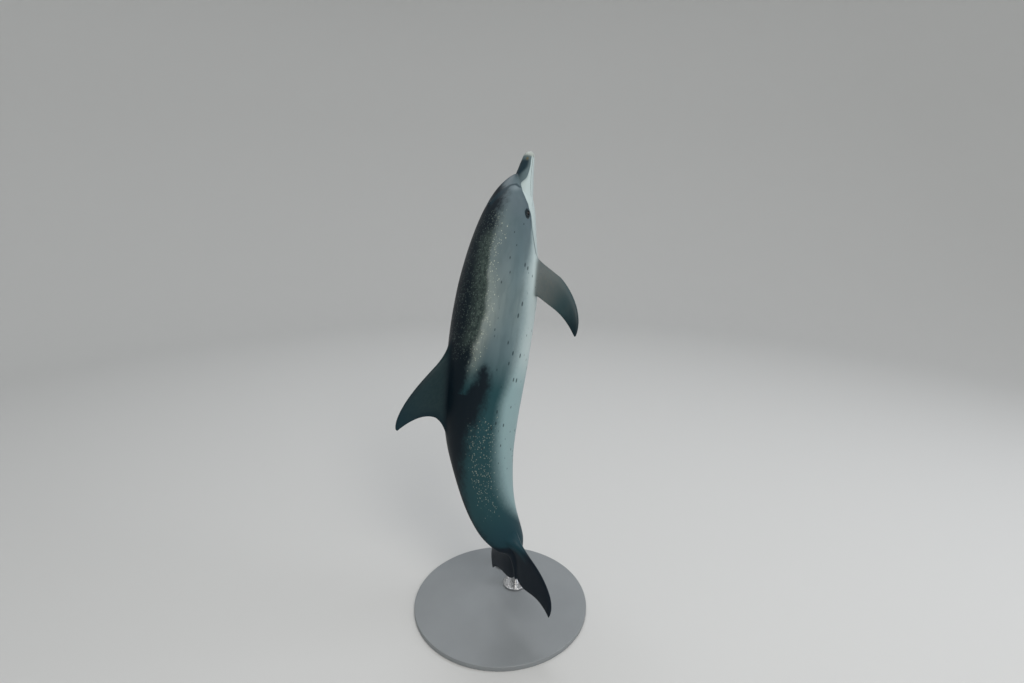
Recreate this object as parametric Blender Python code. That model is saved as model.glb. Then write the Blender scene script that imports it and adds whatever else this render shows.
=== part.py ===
"""Atlantic spotted dolphin: a still, life-size model that rises nose up on a plain display stand.

The body is shaped straight, in a rest frame that follows the animal: x to its right, y forward and
z to its back, with u the station along it, 0 at the tip of the beak and 1 at the notch of the flukes.
Its measures there are shares of LENGTH. One closed mesh is lofted from cross sections, with the fins
grown out of openings in it, and it is then bent along the spine, set upright and parted by thin cuts.
The finished part is in metres, +Z up, with its origin at the middle of the base's underside.
"""

import math

import bmesh
import bpy
import numpy as np
from mathutils import Matrix, Vector

# ---------------------------------------------------------------- driving dimensions

LENGTH = 2.10  # tip of the beak to the notch of the flukes
GAP = 0.0003  # clearance between neighbouring solids

# How the trunk stands at PIVOT: the head leans back (+Y) and aside (+X), and the roll turns the back
# from -X towards -Y.
PIVOT = 0.40
LEAN_BACK = 15.3
LEAN_ASIDE = 8.8
ROLL = 25.0
PIVOT_PLACE = (-0.024, -0.026, 1.464)  # the spine's place at PIVOT, in the finished part

# Bends of the spine over a stretch of stations: degrees towards the belly, of twist, and sideways.
BENDS = (
    ("neck", 0.02, 0.30, 3.0, -6.0, 4.5),
    ("chest", 0.22, 0.52, 6.0, -2.0, -7.0),
    ("loin", 0.45, 0.75, 16.5, 0.0, -3.0),
    ("tail stock", 0.66, 0.92, 20.5, 5.0, 4.0),
    ("fluke joint", 0.88, 0.96, -27.0, 5.0, -5.0),
)
SPINE_STEPS = 400

# Lines of the body as (station, value): the back, the belly and half the width.
BACK = (
    (0.03, 0.0240),
    (0.07, 0.0430),
    (0.10, 0.0535),
    (0.13, 0.0610),
    (0.16, 0.0690),
    (0.20, 0.0766),
    (0.26, 0.0847),
    (0.33, 0.0904),
    (0.40, 0.0920),
    (0.46, 0.0910),
    (0.53, 0.0882),
    (0.60, 0.0846),
    (0.64, 0.0808),
    (0.68, 0.0752),
    (0.72, 0.0698),
    (0.76, 0.0650),
    (0.80, 0.0608),
    (0.84, 0.0560),
    (0.88, 0.0458),
    (0.90, 0.0385),
    (0.93, 0.0196),
    (0.955, 0.0084),
    (0.975, 0.0040),
    (1.00, 0.0020),
)
BELLY = (
    (0.00, 0.0100),
    (0.02, 0.0135),
    (0.05, 0.0205),
    (0.08, 0.0282),
    (0.12, 0.0382),
    (0.16, 0.0474),
    (0.20, 0.0573),
    (0.26, 0.0735),
    (0.33, 0.0825),
    (0.40, 0.0843),
    (0.46, 0.0845),
    (0.53, 0.0820),
    (0.60, 0.0765),
    (0.68, 0.0660),
    (0.76, 0.0572),
    (0.84, 0.0445),
    (0.90, 0.0318),
    (0.93, 0.0172),
    (0.955, 0.0078),
    (0.975, 0.0038),
    (1.00, 0.0019),
)
HALF_WIDTH = (
    (0.03, 0.0200),
    (0.06, 0.0300),
    (0.09, 0.0395),
    (0.125, 0.0503),
    (0.16, 0.0597),
    (0.20, 0.0695),
    (0.26, 0.0795),
    (0.33, 0.0840),
    (0.40, 0.0835),
    (0.46, 0.0802),
    (0.53, 0.0735),
    (0.60, 0.0640),
    (0.68, 0.0500),
    (0.76, 0.0370),
    (0.84, 0.0268),
    (0.90, 0.0208),
    (0.94, 0.0142),
    (0.97, 0.0082),
    (1.00, 0.0030),
)
# The beak, which runs on under the melon: its top and half its width.
BEAK_TOP = ((0.00, 0.0105), (0.02, 0.0130), (0.05, 0.0165), (0.08, 0.0195), (0.20, 0.0260))
BEAK_HALF_WIDTH = ((0.00, 0.0120), (0.02, 0.0152), (0.05, 0.0200), (0.08, 0.0258), (0.20, 0.0400))
TIP_ROUNDING = 0.013  # how far back from its tip the beak rounds to its full section
# The melon starts over the beak at its apex and later down its sides, with a blunt round front.
MELON_APEX, MELON_SIDE = 0.060, 0.104
MELON_FRONT_TOP, MELON_FRONT_SIDE = 0.070, 0.064
KEEL_FROM, KEEL_FULL, KEEL_SHARPNESS = 0.60, 0.86, 0.32  # the tail stock's ridges

# Rows and columns of the loft as (end of the stretch, steps in it): stations, then degrees round
# the section from the back to the belly. The fins' openings lie between those ends.
ROWS = (
    (0.013, 3),
    (0.050, 2),
    (0.085, 5),
    (0.236, 8),
    (0.322, 5),
    (0.430, 4),
    (0.620, 9),
    (0.872, 8),
    (0.990, 8),
    (0.994, 1),
)
COLUMNS = ((9.0, 2), (68.0, 5), (112.0, 4), (117.0, 1), (139.0, 3), (180.0, 3))

FOIL_FRONT, FOIL_REAR = 28.0, 14.0  # degrees of a foil's loop that lie across its two edges
EDGE_THICKNESS = 0.0012  # of the trailing edges, beyond the foil's own
FILLET_STEPS, FIN_STEPS = 3, 7

DORSAL_FIN = {
    "stations": (0.430, 0.620),
    "degrees": (-9.0, 9.0),
    "leading": ((0.440, 0.088), (0.480, 0.095), (0.570, 0.200), (0.598, 0.190)),
    "trailing": ((0.612, 0.078), (0.570, 0.100), (0.575, 0.140), (0.600, 0.187)),
    "thickness": (0.0125, 0.0030),
    "fillet": 0.22,
    "foot": 0.0,
    "droop": 0.0,
}
FLIPPER = {
    "stations": (0.236, 0.322),
    "degrees": (117.0, 139.0),
    "leading": ((0.000, -0.004), (0.010, 0.055), (0.090, 0.120), (0.147, 0.105)),
    "trailing": ((0.070, -0.004), (0.095, 0.045), (0.100, 0.070), (0.148, 0.102)),
    "thickness": (0.0165, 0.0030),
    "fillet": 0.22,
    "foot": 0.0,
    "droop": 0.0,
}
FLIPPER_STATION = 0.244  # where its leading edge meets the body
FLIPPER_ROOT = (0.0600, -0.0450)
FLIPPER_DROP = 50.0  # degrees below the level of the spine
FLUKE = {
    "stations": (0.872, 0.990),
    "degrees": (68.0, 112.0),
    "leading": ((0.874, 0.010), (0.920, 0.040), (0.955, 0.160), (1.026, 0.121)),
    "trailing": ((0.998, 0.004), (1.020, 0.020), (0.985, 0.075), (1.027, 0.118)),
    "thickness": (0.0165, 0.0035),
    "fillet": 0.30,
    "foot": 0.13,
}
LEFT_FLUKE_DROOP = -0.016  # the left fluke's tip bends to the belly's side

EYE_STATION, EYE_HEIGHT = 0.151, -0.001
EYE_RADIUS, EYE_DEPTH = 0.0062, 0.0048

# Where the flesh is parted: stations of the two cuts across, and outlines in each piece's own plan.
NECK_CUT, TAIL_CUT = 0.205, 0.665
DORSAL_CUT = ((0.40, 0.1010), (0.66, 0.0880), (0.66, 0.30), (0.40, 0.30))
FLIPPER_CUT = ((-0.03, 0.0100), (0.20, 0.0330), (0.20, 0.20), (-0.03, 0.20))
FLUKE_CUT = ((0.885, 0.0300), (1.08, 0.0260), (1.08, 0.20), (0.885, 0.20))
# The lower jaw, seen from the side: the line of the mouth to its corner, then down to the throat.
JAW_CUT = (
    (-0.02, -0.0005),
    (0.03, -0.0030),
    (0.075, -0.0075),
    (0.110, -0.0165),
    (0.128, -0.0140),
    (0.152, -0.0750),
    (-0.02, -0.0750),
)

BASE_RADIUS, BASE_THICKNESS, BASE_BEVEL = 0.44, 0.024, 0.004
FLANGE_RADIUS, FLANGE_THICKNESS, FLANGE_BEVEL = 0.062, 0.012, 0.003
ROD_RADIUS = 0.019
# Each rod rises from its foot on the base, bends and runs into the left flank at this station.
RODS = {"stand_rod_upper": (0.020, 0.290, 0.625), "stand_rod_lower": (0.075, 0.115, 0.775)}
ROD_STRAIGHT = 0.35  # share of the way up at which a rod starts to lean in

SKIN_COLOUR = (0.12, 0.14, 0.16, 1.0)
BELLY_COLOUR = (0.50, 0.50, 0.50, 1.0)
EYE_COLOUR = (0.012, 0.010, 0.010, 1.0)
BASE_COLOUR = (0.30, 0.31, 0.32, 1.0)
STEEL_COLOUR = (0.62, 0.62, 0.63, 1.0)


# ---------------------------------------------------------------- curves


def curve(points):
    """A smooth curve through (station, value) points that never overshoots them."""
    x, y = np.array(points, float).T
    step = np.diff(x)
    rise = np.diff(y) / step
    slope = np.zeros(len(x))
    for i in range(1, len(x) - 1):
        if rise[i - 1] * rise[i] > 0:
            before, after = 2 * step[i] + step[i - 1], step[i] + 2 * step[i - 1]
            slope[i] = (before + after) / (before / rise[i - 1] + after / rise[i])
    slope[0], slope[-1] = rise[0], rise[-1]

    def value(u):
        u = min(max(u, x[0]), x[-1])
        i = min(int(np.searchsorted(x, u, side="right")) - 1, len(step) - 1)
        t = (u - x[i]) / step[i]
        start, end = y[i] * (1 + 2 * t) * (1 - t) ** 2, y[i + 1] * t * t * (3 - 2 * t)
        turn = step[i] * t * (1 - t) * (slope[i] * (1 - t) - slope[i + 1] * t)
        return start + end + turn

    return value


def smooth_step(low, high, value):
    t = min(max((value - low) / (high - low), 0.0), 1.0)
    return t * t * (3 - 2 * t)


def bezier(points, t):
    a, b, c, d = (np.array(p, float) for p in points)
    return a * (1 - t) ** 3 + 3 * b * t * (1 - t) ** 2 + 3 * c * t * t * (1 - t) + d * t**3


back, belly, half_width = curve(BACK), curve(BELLY), curve(HALF_WIDTH)
beak_top, beak_half_width = curve(BEAK_TOP), curve(BEAK_HALF_WIDTH)


# ---------------------------------------------------------------- the body at rest


def melon_share(u, side):
    """How far the section has grown from beak to head at a station: side is 0 on top, 1 at the side."""
    front = MELON_APEX + (MELON_SIDE - MELON_APEX) * side**1.5
    depth = MELON_FRONT_TOP + (MELON_FRONT_SIDE - MELON_FRONT_TOP) * side
    t = min(max((u - front) / depth, 0.0), 1.0)
    return math.sqrt(1 - (1 - t) ** 2)


def mix(a, b, share):
    return a + (b - a) * share


def section_sizes(u, side):
    """Half the width, the height above and the depth below the spine at a station."""
    tip = min(u / TIP_ROUNDING, 1.0)
    rounding = math.sqrt(1 - (1 - tip) ** 2)
    at_side = melon_share(u, 1.0)
    here = melon_share(u, side)
    width_side = mix(beak_half_width(u), half_width(u), at_side)
    width = mix(beak_half_width(u), half_width(u), here)
    top = mix(beak_top(u), back(u), here)
    return width * rounding, width_side * rounding, top * rounding, belly(u) * rounding


def surface(u, angle):
    """A point of the body's surface in shares of LENGTH: angle runs from the back round the right."""
    s, c = math.sin(angle), math.cos(angle)
    side = min(abs(s) if c > 0 else 1.0, 1.0)
    width, width_side, top, bottom = section_sizes(u, side)
    keel = 1 + KEEL_SHARPNESS * smooth_step(KEEL_FROM, KEEL_FULL, u)
    reach = (width if c > 0 else width_side) * math.copysign(abs(s) ** keel, s)
    return np.array((reach, -u, top * c if c > 0 else bottom * c))


def steps(stretches, start):
    """The values at every row or column, from (end, number of steps) stretches."""
    values = [start]
    for end, number in stretches:
        first = values[-1]
        values += [first + (end - first) * (i + 1) / number for i in range(number)]
    return values


def row_stations():
    """Stations of the rows: those of the tip's rounding crowd towards the tip."""
    values = steps(ROWS, 0.0)
    return [u * u / TIP_ROUNDING if u < TIP_ROUNDING else u for u in values]


def column_angles():
    right = steps(COLUMNS, 0.0)
    return [math.radians(a) for a in right] + [math.radians(-a) for a in right[-2:0:-1]]


# ---------------------------------------------------------------- fins


def axes_of(kind):
    """Where a right fin's plan lies at rest: its origin, and its rearward, outward and face directions."""
    rearward = np.array((0.0, -1.0, 0.0))
    if kind == "dorsal":
        return np.zeros(3), rearward, np.array((0.0, 0.0, 1.0)), np.array((1.0, 0.0, 0.0))
    if kind == "fluke":
        return np.zeros(3), rearward, np.array((1.0, 0.0, 0.0)), np.array((0.0, 0.0, -1.0))
    x, z = FLIPPER_ROOT
    drop = math.radians(FLIPPER_DROP)
    outward = np.array((math.cos(drop), 0.0, -math.sin(drop)))
    facing = np.array((-math.sin(drop), 0.0, -math.cos(drop)))
    return np.array((x, -FLIPPER_STATION, z)), rearward, outward, facing


def foil(chord):
    """Half the thickness of a streamlined foil, 1 at its thickest, from 0 in front to 1 behind."""
    a, b, c, d, e = 2.969, -1.26, -3.516, 2.843, -1.036
    return a * math.sqrt(chord) + b * chord + c * chord**2 + d * chord**3 + e * chord**4


def loop_angles(along, across):
    """Angles round a foil's loop: back along one side from its front, round its rear and forward."""
    front, rear = math.radians(FOIL_FRONT), math.pi - math.radians(FOIL_REAR)
    side = [front + (rear - front) * i / along for i in range(along + 1)]
    behind = [rear + (2 * math.pi - 2 * rear) * i / across for i in range(1, across)]
    other = [2 * math.pi - a for a in reversed(side)]
    ahead = [-front + 2 * front * i / across for i in range(1, across)]
    return side + behind + other + ahead


def fin_loop(fin, kind, t, angles):
    """One foil section of a right fin at share t of its span."""
    origin, rearward, outward, facing = axes_of(kind)
    front, rear = bezier(fin["leading"], t), bezier(fin["trailing"], t)
    root, tip = fin["thickness"]
    thickness = mix(root, tip, t**0.8) * math.sqrt(max(1 - t**8, 0.05))
    points = []
    for angle in angles:
        chord = (1 - math.cos(angle)) / 2
        at = mix(front, rear, chord)
        half = math.copysign(foil(chord), math.sin(angle)) * thickness / 2
        half += math.sin(angle) * EDGE_THICKNESS / LENGTH
        lift = np.array((0.0, 0.0, fin["droop"] * (at[1] / fin["trailing"][3][1]) ** 2))
        points.append(origin + rearward * at[0] + outward * at[1] + facing * half + lift)
    return points


def onto_body(point):
    """The point of the body's surface at the same station that lies outward of this one."""
    u = -point[1]
    u = min(max(u, 0.0), 1.0)
    width, width_side, top, bottom = section_sizes(u, 1.0)
    height = top if point[2] > 0 else bottom
    return surface(u, math.atan2(point[0] / width, point[2] / height))


def opening(fin, rows, columns):
    """Places round a right fin's opening in the loft, as (row, column), in the order of its loops."""
    first, last = (min(range(len(rows)), key=lambda i: abs(rows[i] - u)) for u in fin["stations"])
    low, high = (
        min(range(len(columns)), key=lambda j: abs(columns[j] - math.radians(a))) for a in fin["degrees"]
    )
    count = len(columns)
    across = (high - low) % count
    near = [(i, high) for i in range(first, last + 1)]
    behind = [(last, (high - k) % count) for k in range(1, across)]
    far = [(i, low) for i in range(last, first - 1, -1)]
    ahead = [(first, (low + k) % count) for k in range(1, across)]
    return near + behind + far + ahead, last - first, across


def grow_fin(mesh, grid, fin, kind, side, rows, columns):
    """Takes the faces of an opening out of the loft and grows a fin from its rim, with a fillet."""
    rim, along, across = opening(fin, rows, columns)
    mirror = np.array((side, 1, 1))
    rim = [(i, (side * j) % len(columns)) for i, j in rim]
    cut_opening(mesh, grid, rim, len(columns))
    angles = loop_angles(along, across)
    foot = fin_loop(fin, kind, fin["foot"], angles)
    foot = [(p if fin["foot"] else onto_body(p)) * mirror for p in foot]
    start = [p * mirror for p in fin_loop(fin, kind, fin["fillet"], angles)]
    loops = [[grid[i][j] for i, j in rim]]
    for step in range(1, FILLET_STEPS + 1):
        t = step / FILLET_STEPS
        ring = []
        for vertex, a, b in zip(loops[0], foot, start):
            edge = np.array(vertex.co)
            ring.append(edge * (1 - t) ** 2 + 2 * a * t * (1 - t) + b * t * t)
        loops.append([mesh.verts.new(p) for p in ring])
    for step in range(1, FIN_STEPS + 1):
        t = mix(fin["fillet"], 1.0, math.sin(math.pi / 2 * step / FIN_STEPS))
        loops.append([mesh.verts.new(p * mirror) for p in fin_loop(fin, kind, t, angles)])
    for lower, upper in zip(loops, loops[1:]):
        for k in range(len(lower)):
            n = (k + 1) % len(lower)
            mesh.faces.new((lower[k], lower[n], upper[n], upper[k]))
    close_tip(mesh, loops[-1], along, across)


def cut_opening(mesh, grid, rim, count):
    rows_in = sorted({i for i, _ in rim})
    columns_in = {j for _, j in rim}
    for i in rows_in[:-1]:
        for j in columns_in:
            n = (j + 1) % count
            if n not in columns_in:
                continue
            corners = {grid[i][j], grid[i][n], grid[i + 1][n], grid[i + 1][j]}
            for face in [f for f in grid[i][j].link_faces if set(f.verts) == corners]:
                mesh.faces.remove(face)
    inside = [grid[i][j] for i in rows_in[1:-1] for j in columns_in if not grid[i][j].link_faces]
    for vertex in inside:
        mesh.verts.remove(vertex)


def close_tip(mesh, loop, along, across):
    """Closes a fin's last loop with rows of faces from one side to the other."""
    near = loop[: along + 1]
    far = loop[along + across : 2 * along + across + 1][::-1]
    behind = loop[along + 1 : along + across]
    ahead = loop[2 * along + across + 1 :]
    for k in range(along):
        mesh.faces.new((near[k], near[k + 1], far[k + 1], far[k]))
    mesh.faces.new([near[-1], *behind, far[-1]])
    mesh.faces.new([far[0], *ahead, near[0]])


# ---------------------------------------------------------------- the pose


def spine():
    """Places and directions of the spine at even stations: columns right, forward and dorsal."""
    stations = np.linspace(0, 1, SPINE_STEPS + 1)
    rates = np.zeros((SPINE_STEPS + 1, 3))
    for _, start, end, to_belly, twist, sideways in BENDS:
        t = np.clip((stations - start) / (end - start), 0, 1)
        bell = (1 - np.cos(2 * math.pi * t)) / (end - start)
        rates += np.outer(bell, np.radians((to_belly, twist, sideways)))
    upright = Matrix(((0, 0, -1), (-1, 0, 0), (0, 1, 0)))
    turned = Matrix.Rotation(math.radians(ROLL), 3, "Z") @ upright
    leaned = Matrix.Rotation(math.radians(-LEAN_BACK), 3, "X") @ turned
    trunk = Matrix.Rotation(math.radians(LEAN_ASIDE), 3, "Y") @ leaned
    middle = round(PIVOT * SPINE_STEPS)
    turns, places = {middle: trunk}, {middle: Vector(PIVOT_PLACE)}
    step = LENGTH / SPINE_STEPS
    for way in (1, -1):
        i = middle
        while 0 <= i + way <= SPINE_STEPS:
            rate = (rates[i] + rates[i + way]) / 2 / SPINE_STEPS * way
            small = Vector(rate)
            turn = Matrix.Rotation(small.length, 3, small) if small.length > 1e-9 else Matrix.Identity(3)
            turns[i + way] = turns[i] @ turn
            along = (turns[i].col[1] + turns[i + way].col[1]) / 2
            places[i + way] = places[i] - along * step * way
            i += way
    return [places[i] for i in range(SPINE_STEPS + 1)], [turns[i] for i in range(SPINE_STEPS + 1)]


SPINE_PLACES, SPINE_TURNS = spine()


def posed(point):
    """A rest point, in shares of LENGTH, moved to its place on the bent spine, in metres."""
    u = -point[1]
    at = min(max(u, 0.0), 1.0) * SPINE_STEPS
    i = min(int(at), SPINE_STEPS - 1)
    place = SPINE_PLACES[i].lerp(SPINE_PLACES[i + 1], at - i)
    right, forward, dorsal = (
        SPINE_TURNS[i].col[k].lerp(SPINE_TURNS[i + 1].col[k], at - i).normalized() for k in range(3)
    )
    beyond = u - min(max(u, 0.0), 1.0)
    return place + (right * point[0] - forward * beyond + dorsal * point[2]) * LENGTH


def fixed(point, station):
    """A rest point moved as if fast to the spine at a station, so that flat shapes stay flat."""
    i = round(station * SPINE_STEPS)
    local = Vector((point[0], point[1] + i / SPINE_STEPS, point[2]))
    return SPINE_PLACES[i] + SPINE_TURNS[i] @ local * LENGTH


# ---------------------------------------------------------------- making objects


def material(name, colour, roughness, metallic=0.0):
    made = bpy.data.materials.new(name)
    made.use_nodes = True
    shader = made.node_tree.nodes["Principled BSDF"]
    shader.inputs["Base Color"].default_value = colour
    shader.inputs["Roughness"].default_value = roughness
    shader.inputs["Metallic"].default_value = metallic
    return made


def finish(mesh, name, finish_material, smooth=True):
    """An object from a bmesh, with its faces turned outward."""
    bmesh.ops.recalc_face_normals(mesh, faces=mesh.faces)
    data = bpy.data.meshes.new(name)
    mesh.to_mesh(data)
    mesh.free()
    made = bpy.data.objects.new(name, data)
    bpy.context.scene.collection.objects.link(made)
    if finish_material:
        data.materials.append(finish_material)
    if smooth:
        data.shade_smooth()
        data.set_sharp_from_angle(angle=math.radians(40))
    return made


def as_cutter(made):
    made.hide_render = True
    made.display_type = "WIRE"
    return made


def combine(made, other, operation):
    """Applies one exact Boolean to an object."""
    modifier = made.modifiers.new(operation.lower(), "BOOLEAN")
    modifier.operation = operation
    modifier.object = other
    modifier.solver = "EXACT"
    with bpy.context.temp_override(object=made, active_object=made):
        bpy.ops.object.modifier_apply(modifier=modifier.name)


def copy_of(source, name, finish_material):
    made = bpy.data.objects.new(name, source.data.copy())
    bpy.context.scene.collection.objects.link(made)
    made.data.materials.clear()
    made.data.materials.append(finish_material)
    return made


def whole_dolphin():
    """The uncut flesh, posed: the lofted body with its five fins."""
    rows, columns = row_stations(), column_angles()
    mesh = bmesh.new()
    grid = [[mesh.verts.new(surface(u, a)) for a in columns] for u in rows[1:]]
    grid.insert(0, [])
    count = len(columns)
    for i in range(1, len(rows) - 1):
        for j in range(count):
            n = (j + 1) % count
            mesh.faces.new((grid[i][j], grid[i][n], grid[i + 1][n], grid[i + 1][j]))
    tip = mesh.verts.new((0.0, 0.0, 0.0))
    for j in range(count):
        mesh.faces.new((tip, grid[1][(j + 1) % count], grid[1][j]))
    mesh.faces.new(grid[-1])
    grow_fin(mesh, grid, DORSAL_FIN, "dorsal", 1, rows, columns)
    for side in (1, -1):
        grow_fin(mesh, grid, FLIPPER, "flipper", side, rows, columns)
        droop = 0.0 if side > 0 else LEFT_FLUKE_DROOP
        grow_fin(mesh, grid, {**FLUKE, "droop": droop}, "fluke", side, rows, columns)
    for vertex in mesh.verts:
        vertex.co = posed(vertex.co)
    bmesh.ops.triangulate(mesh, faces=mesh.faces)
    return mesh


def block(name, outline, depth, view, station):
    """A cutter: a plan outline made deep both ways and set square to the spine at a station."""
    mesh = bmesh.new()
    near, far = (
        [mesh.verts.new(fixed(view(a, b, d), station)) for a, b in outline] for d in (-depth, depth)
    )
    mesh.faces.new(near)
    mesh.faces.new(far)
    for k in range(len(outline)):
        n = (k + 1) % len(outline)
        mesh.faces.new((near[k], near[n], far[n], far[k]))
    return as_cutter(finish(mesh, name, None, smooth=False))


def side_view(a, b, depth):
    """A point seen from the side: a is its station and b its height."""
    return np.array((depth, -a, b))


def plan_view(side):
    """A point seen from above: a is its station and b how far out it is."""
    return lambda a, b, depth: np.array((side * b, -a, depth))


def flipper_view(side):
    """A point in a flipper's own plan."""
    origin, rearward, outward, facing = axes_of("flipper")
    mirror = np.array((side, 1, 1))
    return lambda a, b, depth: (origin + rearward * a + outward * b + facing * depth) * mirror


def part_flesh(skin, pale):
    """Parts the whole animal into its named pieces by thin cuts."""
    gap = GAP / LENGTH
    whole = as_cutter(finish(whole_dolphin(), "whole", skin))
    head, trunk, tail = (copy_of(whole, name, skin) for name in ("head", "trunk", "tail_stock"))
    made = {"head": head, "trunk": trunk, "tail_stock": tail}

    for name, kept, start, end in (
        ("neck", head, -0.15, NECK_CUT),
        ("tail", tail, TAIL_CUT + 0.45, TAIL_CUT),
    ):
        beyond = end + math.copysign(gap, end - start)
        ends = ((f"cut_{name}", end, kept, "INTERSECT"), (f"room_{name}", beyond, trunk, "DIFFERENCE"))
        for block_name, reach, piece, operation in ends:
            outline = ((start, -0.25), (start, 0.25), (reach, 0.25), (reach, -0.25))
            combine(piece, block(block_name, outline, 0.25, side_view, end), operation)

    flukes, flippers = FLUKE_CUT, FLIPPER_CUT
    fins = [
        ("lower_jaw", head, JAW_CUT, 0.08, side_view, 0.10, gap, pale),
        ("dorsal_fin", trunk, DORSAL_CUT, 0.06, side_view, 0.53, -gap, skin),
    ]
    for side, word in ((1, "right"), (-1, "left")):
        view = flipper_view(side)
        fins.append((f"flipper_{word}", trunk, flippers, 0.045, view, 0.28, -gap, skin))
        fins.append((f"fluke_{word}", tail, flukes, 0.06, plan_view(side), 0.96, -gap, skin))
    for name, parent, outline, depth, view, station, shift, finish_material in fins:
        piece = copy_of(parent, name, finish_material)
        combine(piece, block(f"cut_{name}", outline, depth, view, station), "INTERSECT")
        wider = [(a, b + shift) for a, b in outline]
        room = block(f"room_{name}", wider, depth + gap, view, station)
        combine(parent, room, "DIFFERENCE")
        made[name] = piece
    return whole, made


def make_eyes(head, eye_material):
    """Two eyeballs that stand a little out of the head, each in a socket with clearance."""
    _, _, top, bottom = section_sizes(EYE_STATION, 1.0)
    height = top if EYE_HEIGHT > 0 else bottom
    facing = SPINE_TURNS[round(EYE_STATION * SPINE_STEPS)] @ Matrix.Rotation(math.pi / 2, 3, "Y")
    for side, word in ((1, "right"), (-1, "left")):
        on_skin = surface(EYE_STATION, math.atan2(side, EYE_HEIGHT / height))
        centre = posed(on_skin - np.array((side * EYE_DEPTH, 0.0, 0.0)))
        place = Matrix.Translation(centre) @ facing.to_4x4()
        for name, grown in ((f"socket_{word}", GAP), (f"eye_{word}", 0.0)):
            mesh = bmesh.new()
            radius = EYE_RADIUS * LENGTH + grown
            bmesh.ops.create_uvsphere(mesh, u_segments=16, v_segments=9, radius=radius, matrix=place)
            made = finish(mesh, name, eye_material)
            if grown:
                combine(head, as_cutter(made), "DIFFERENCE")


def disc(name, radius, thickness, bevel, centre, finish_material, segments):
    mesh = bmesh.new()
    bmesh.ops.create_cone(
        mesh, cap_ends=True, segments=segments, radius1=radius, radius2=radius, depth=thickness
    )
    rims = [e for e in mesh.edges if abs(e.verts[0].co.z - e.verts[1].co.z) < thickness / 2]
    upper = [e for e in rims if e.verts[0].co.z > 0]
    bmesh.ops.bevel(mesh, geom=upper, offset=bevel, segments=2, affect="EDGES", profile=0.5)
    bmesh.ops.translate(mesh, verts=mesh.verts, vec=centre)
    return finish(mesh, name, finish_material)


def rod_path(foot, station):
    """A rod's centre line: straight up from its foot, then leaning smoothly into the spine."""
    target = posed(np.array((0.0, -station, 0.0)))
    start = Vector((foot[0], foot[1], BASE_THICKNESS + FLANGE_THICKNESS + GAP * 2))
    turn = Vector((foot[0], foot[1], mix(start.z, target.z, ROD_STRAIGHT + 0.25)))
    below = Vector((foot[0], foot[1], mix(start.z, target.z, ROD_STRAIGHT)))
    count = 10
    points = [start]
    for i in range(count + 1):
        t = i / count
        points.append(below * (1 - t) ** 2 + 2 * turn * t * (1 - t) + target * t * t)
    return points


def make_stand(whole, base_material, steel):
    """A round steel base with two bent rods in foot flanges, which hold the tail from behind."""
    centre = Vector((0, 0, BASE_THICKNESS / 2))
    disc("stand_base", BASE_RADIUS, BASE_THICKNESS, BASE_BEVEL, centre, base_material, 48)
    room = copy_of(whole, "rod_room", steel)
    as_cutter(room)
    shell = bmesh.new()
    shell.from_mesh(room.data)
    shell.normal_update()
    for vertex, normal in [(v, v.normal.copy()) for v in shell.verts]:
        vertex.co += normal * GAP
    shell.to_mesh(room.data)
    shell.free()
    for name, (x, y, station) in RODS.items():
        middle = Vector((x, y, BASE_THICKNESS + GAP + FLANGE_THICKNESS / 2))
        flange = name.replace("rod", "flange")
        disc(flange, FLANGE_RADIUS, FLANGE_THICKNESS, FLANGE_BEVEL, middle, steel, 24)
        path = bpy.data.curves.new(name, "CURVE")
        path.dimensions = "3D"
        path.bevel_depth = ROD_RADIUS
        path.bevel_resolution = 3
        path.use_fill_caps = True
        line = path.splines.new("POLY")
        points = rod_path((x, y), station)
        line.points.add(len(points) - 1)
        for point, place in zip(line.points, points):
            point.co = (*place, 1.0)
        guide = bpy.data.objects.new(f"{name}_line", path)
        bpy.context.scene.collection.objects.link(guide)
        bpy.context.view_layer.update()
        tube = bpy.data.meshes.new_from_object(guide.evaluated_get(bpy.context.evaluated_depsgraph_get()))
        bpy.data.objects.remove(guide)
        mesh = bmesh.new()
        mesh.from_mesh(tube)
        bmesh.ops.remove_doubles(mesh, verts=mesh.verts, dist=1e-5)
        rod = finish(mesh, name, steel)
        combine(rod, room, "DIFFERENCE")


def main():
    for old in list(bpy.data.objects):
        bpy.data.objects.remove(old)
    skin = material("skin", SKIN_COLOUR, 0.38)
    pale = material("skin_pale", BELLY_COLOUR, 0.38)
    eye_material = material("eye", EYE_COLOUR, 0.06)
    base_material = material("stand_base", BASE_COLOUR, 0.45)
    steel = material("stand_steel", STEEL_COLOUR, 0.28, 1.0)
    whole, made = part_flesh(skin, pale)
    make_eyes(made["head"], eye_material)
    make_stand(whole, base_material, steel)


main()
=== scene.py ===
import math

import bmesh
import bpy
import numpy as np
from mathutils import Matrix, Vector
from mathutils.bvhtree import BVHTree


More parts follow.
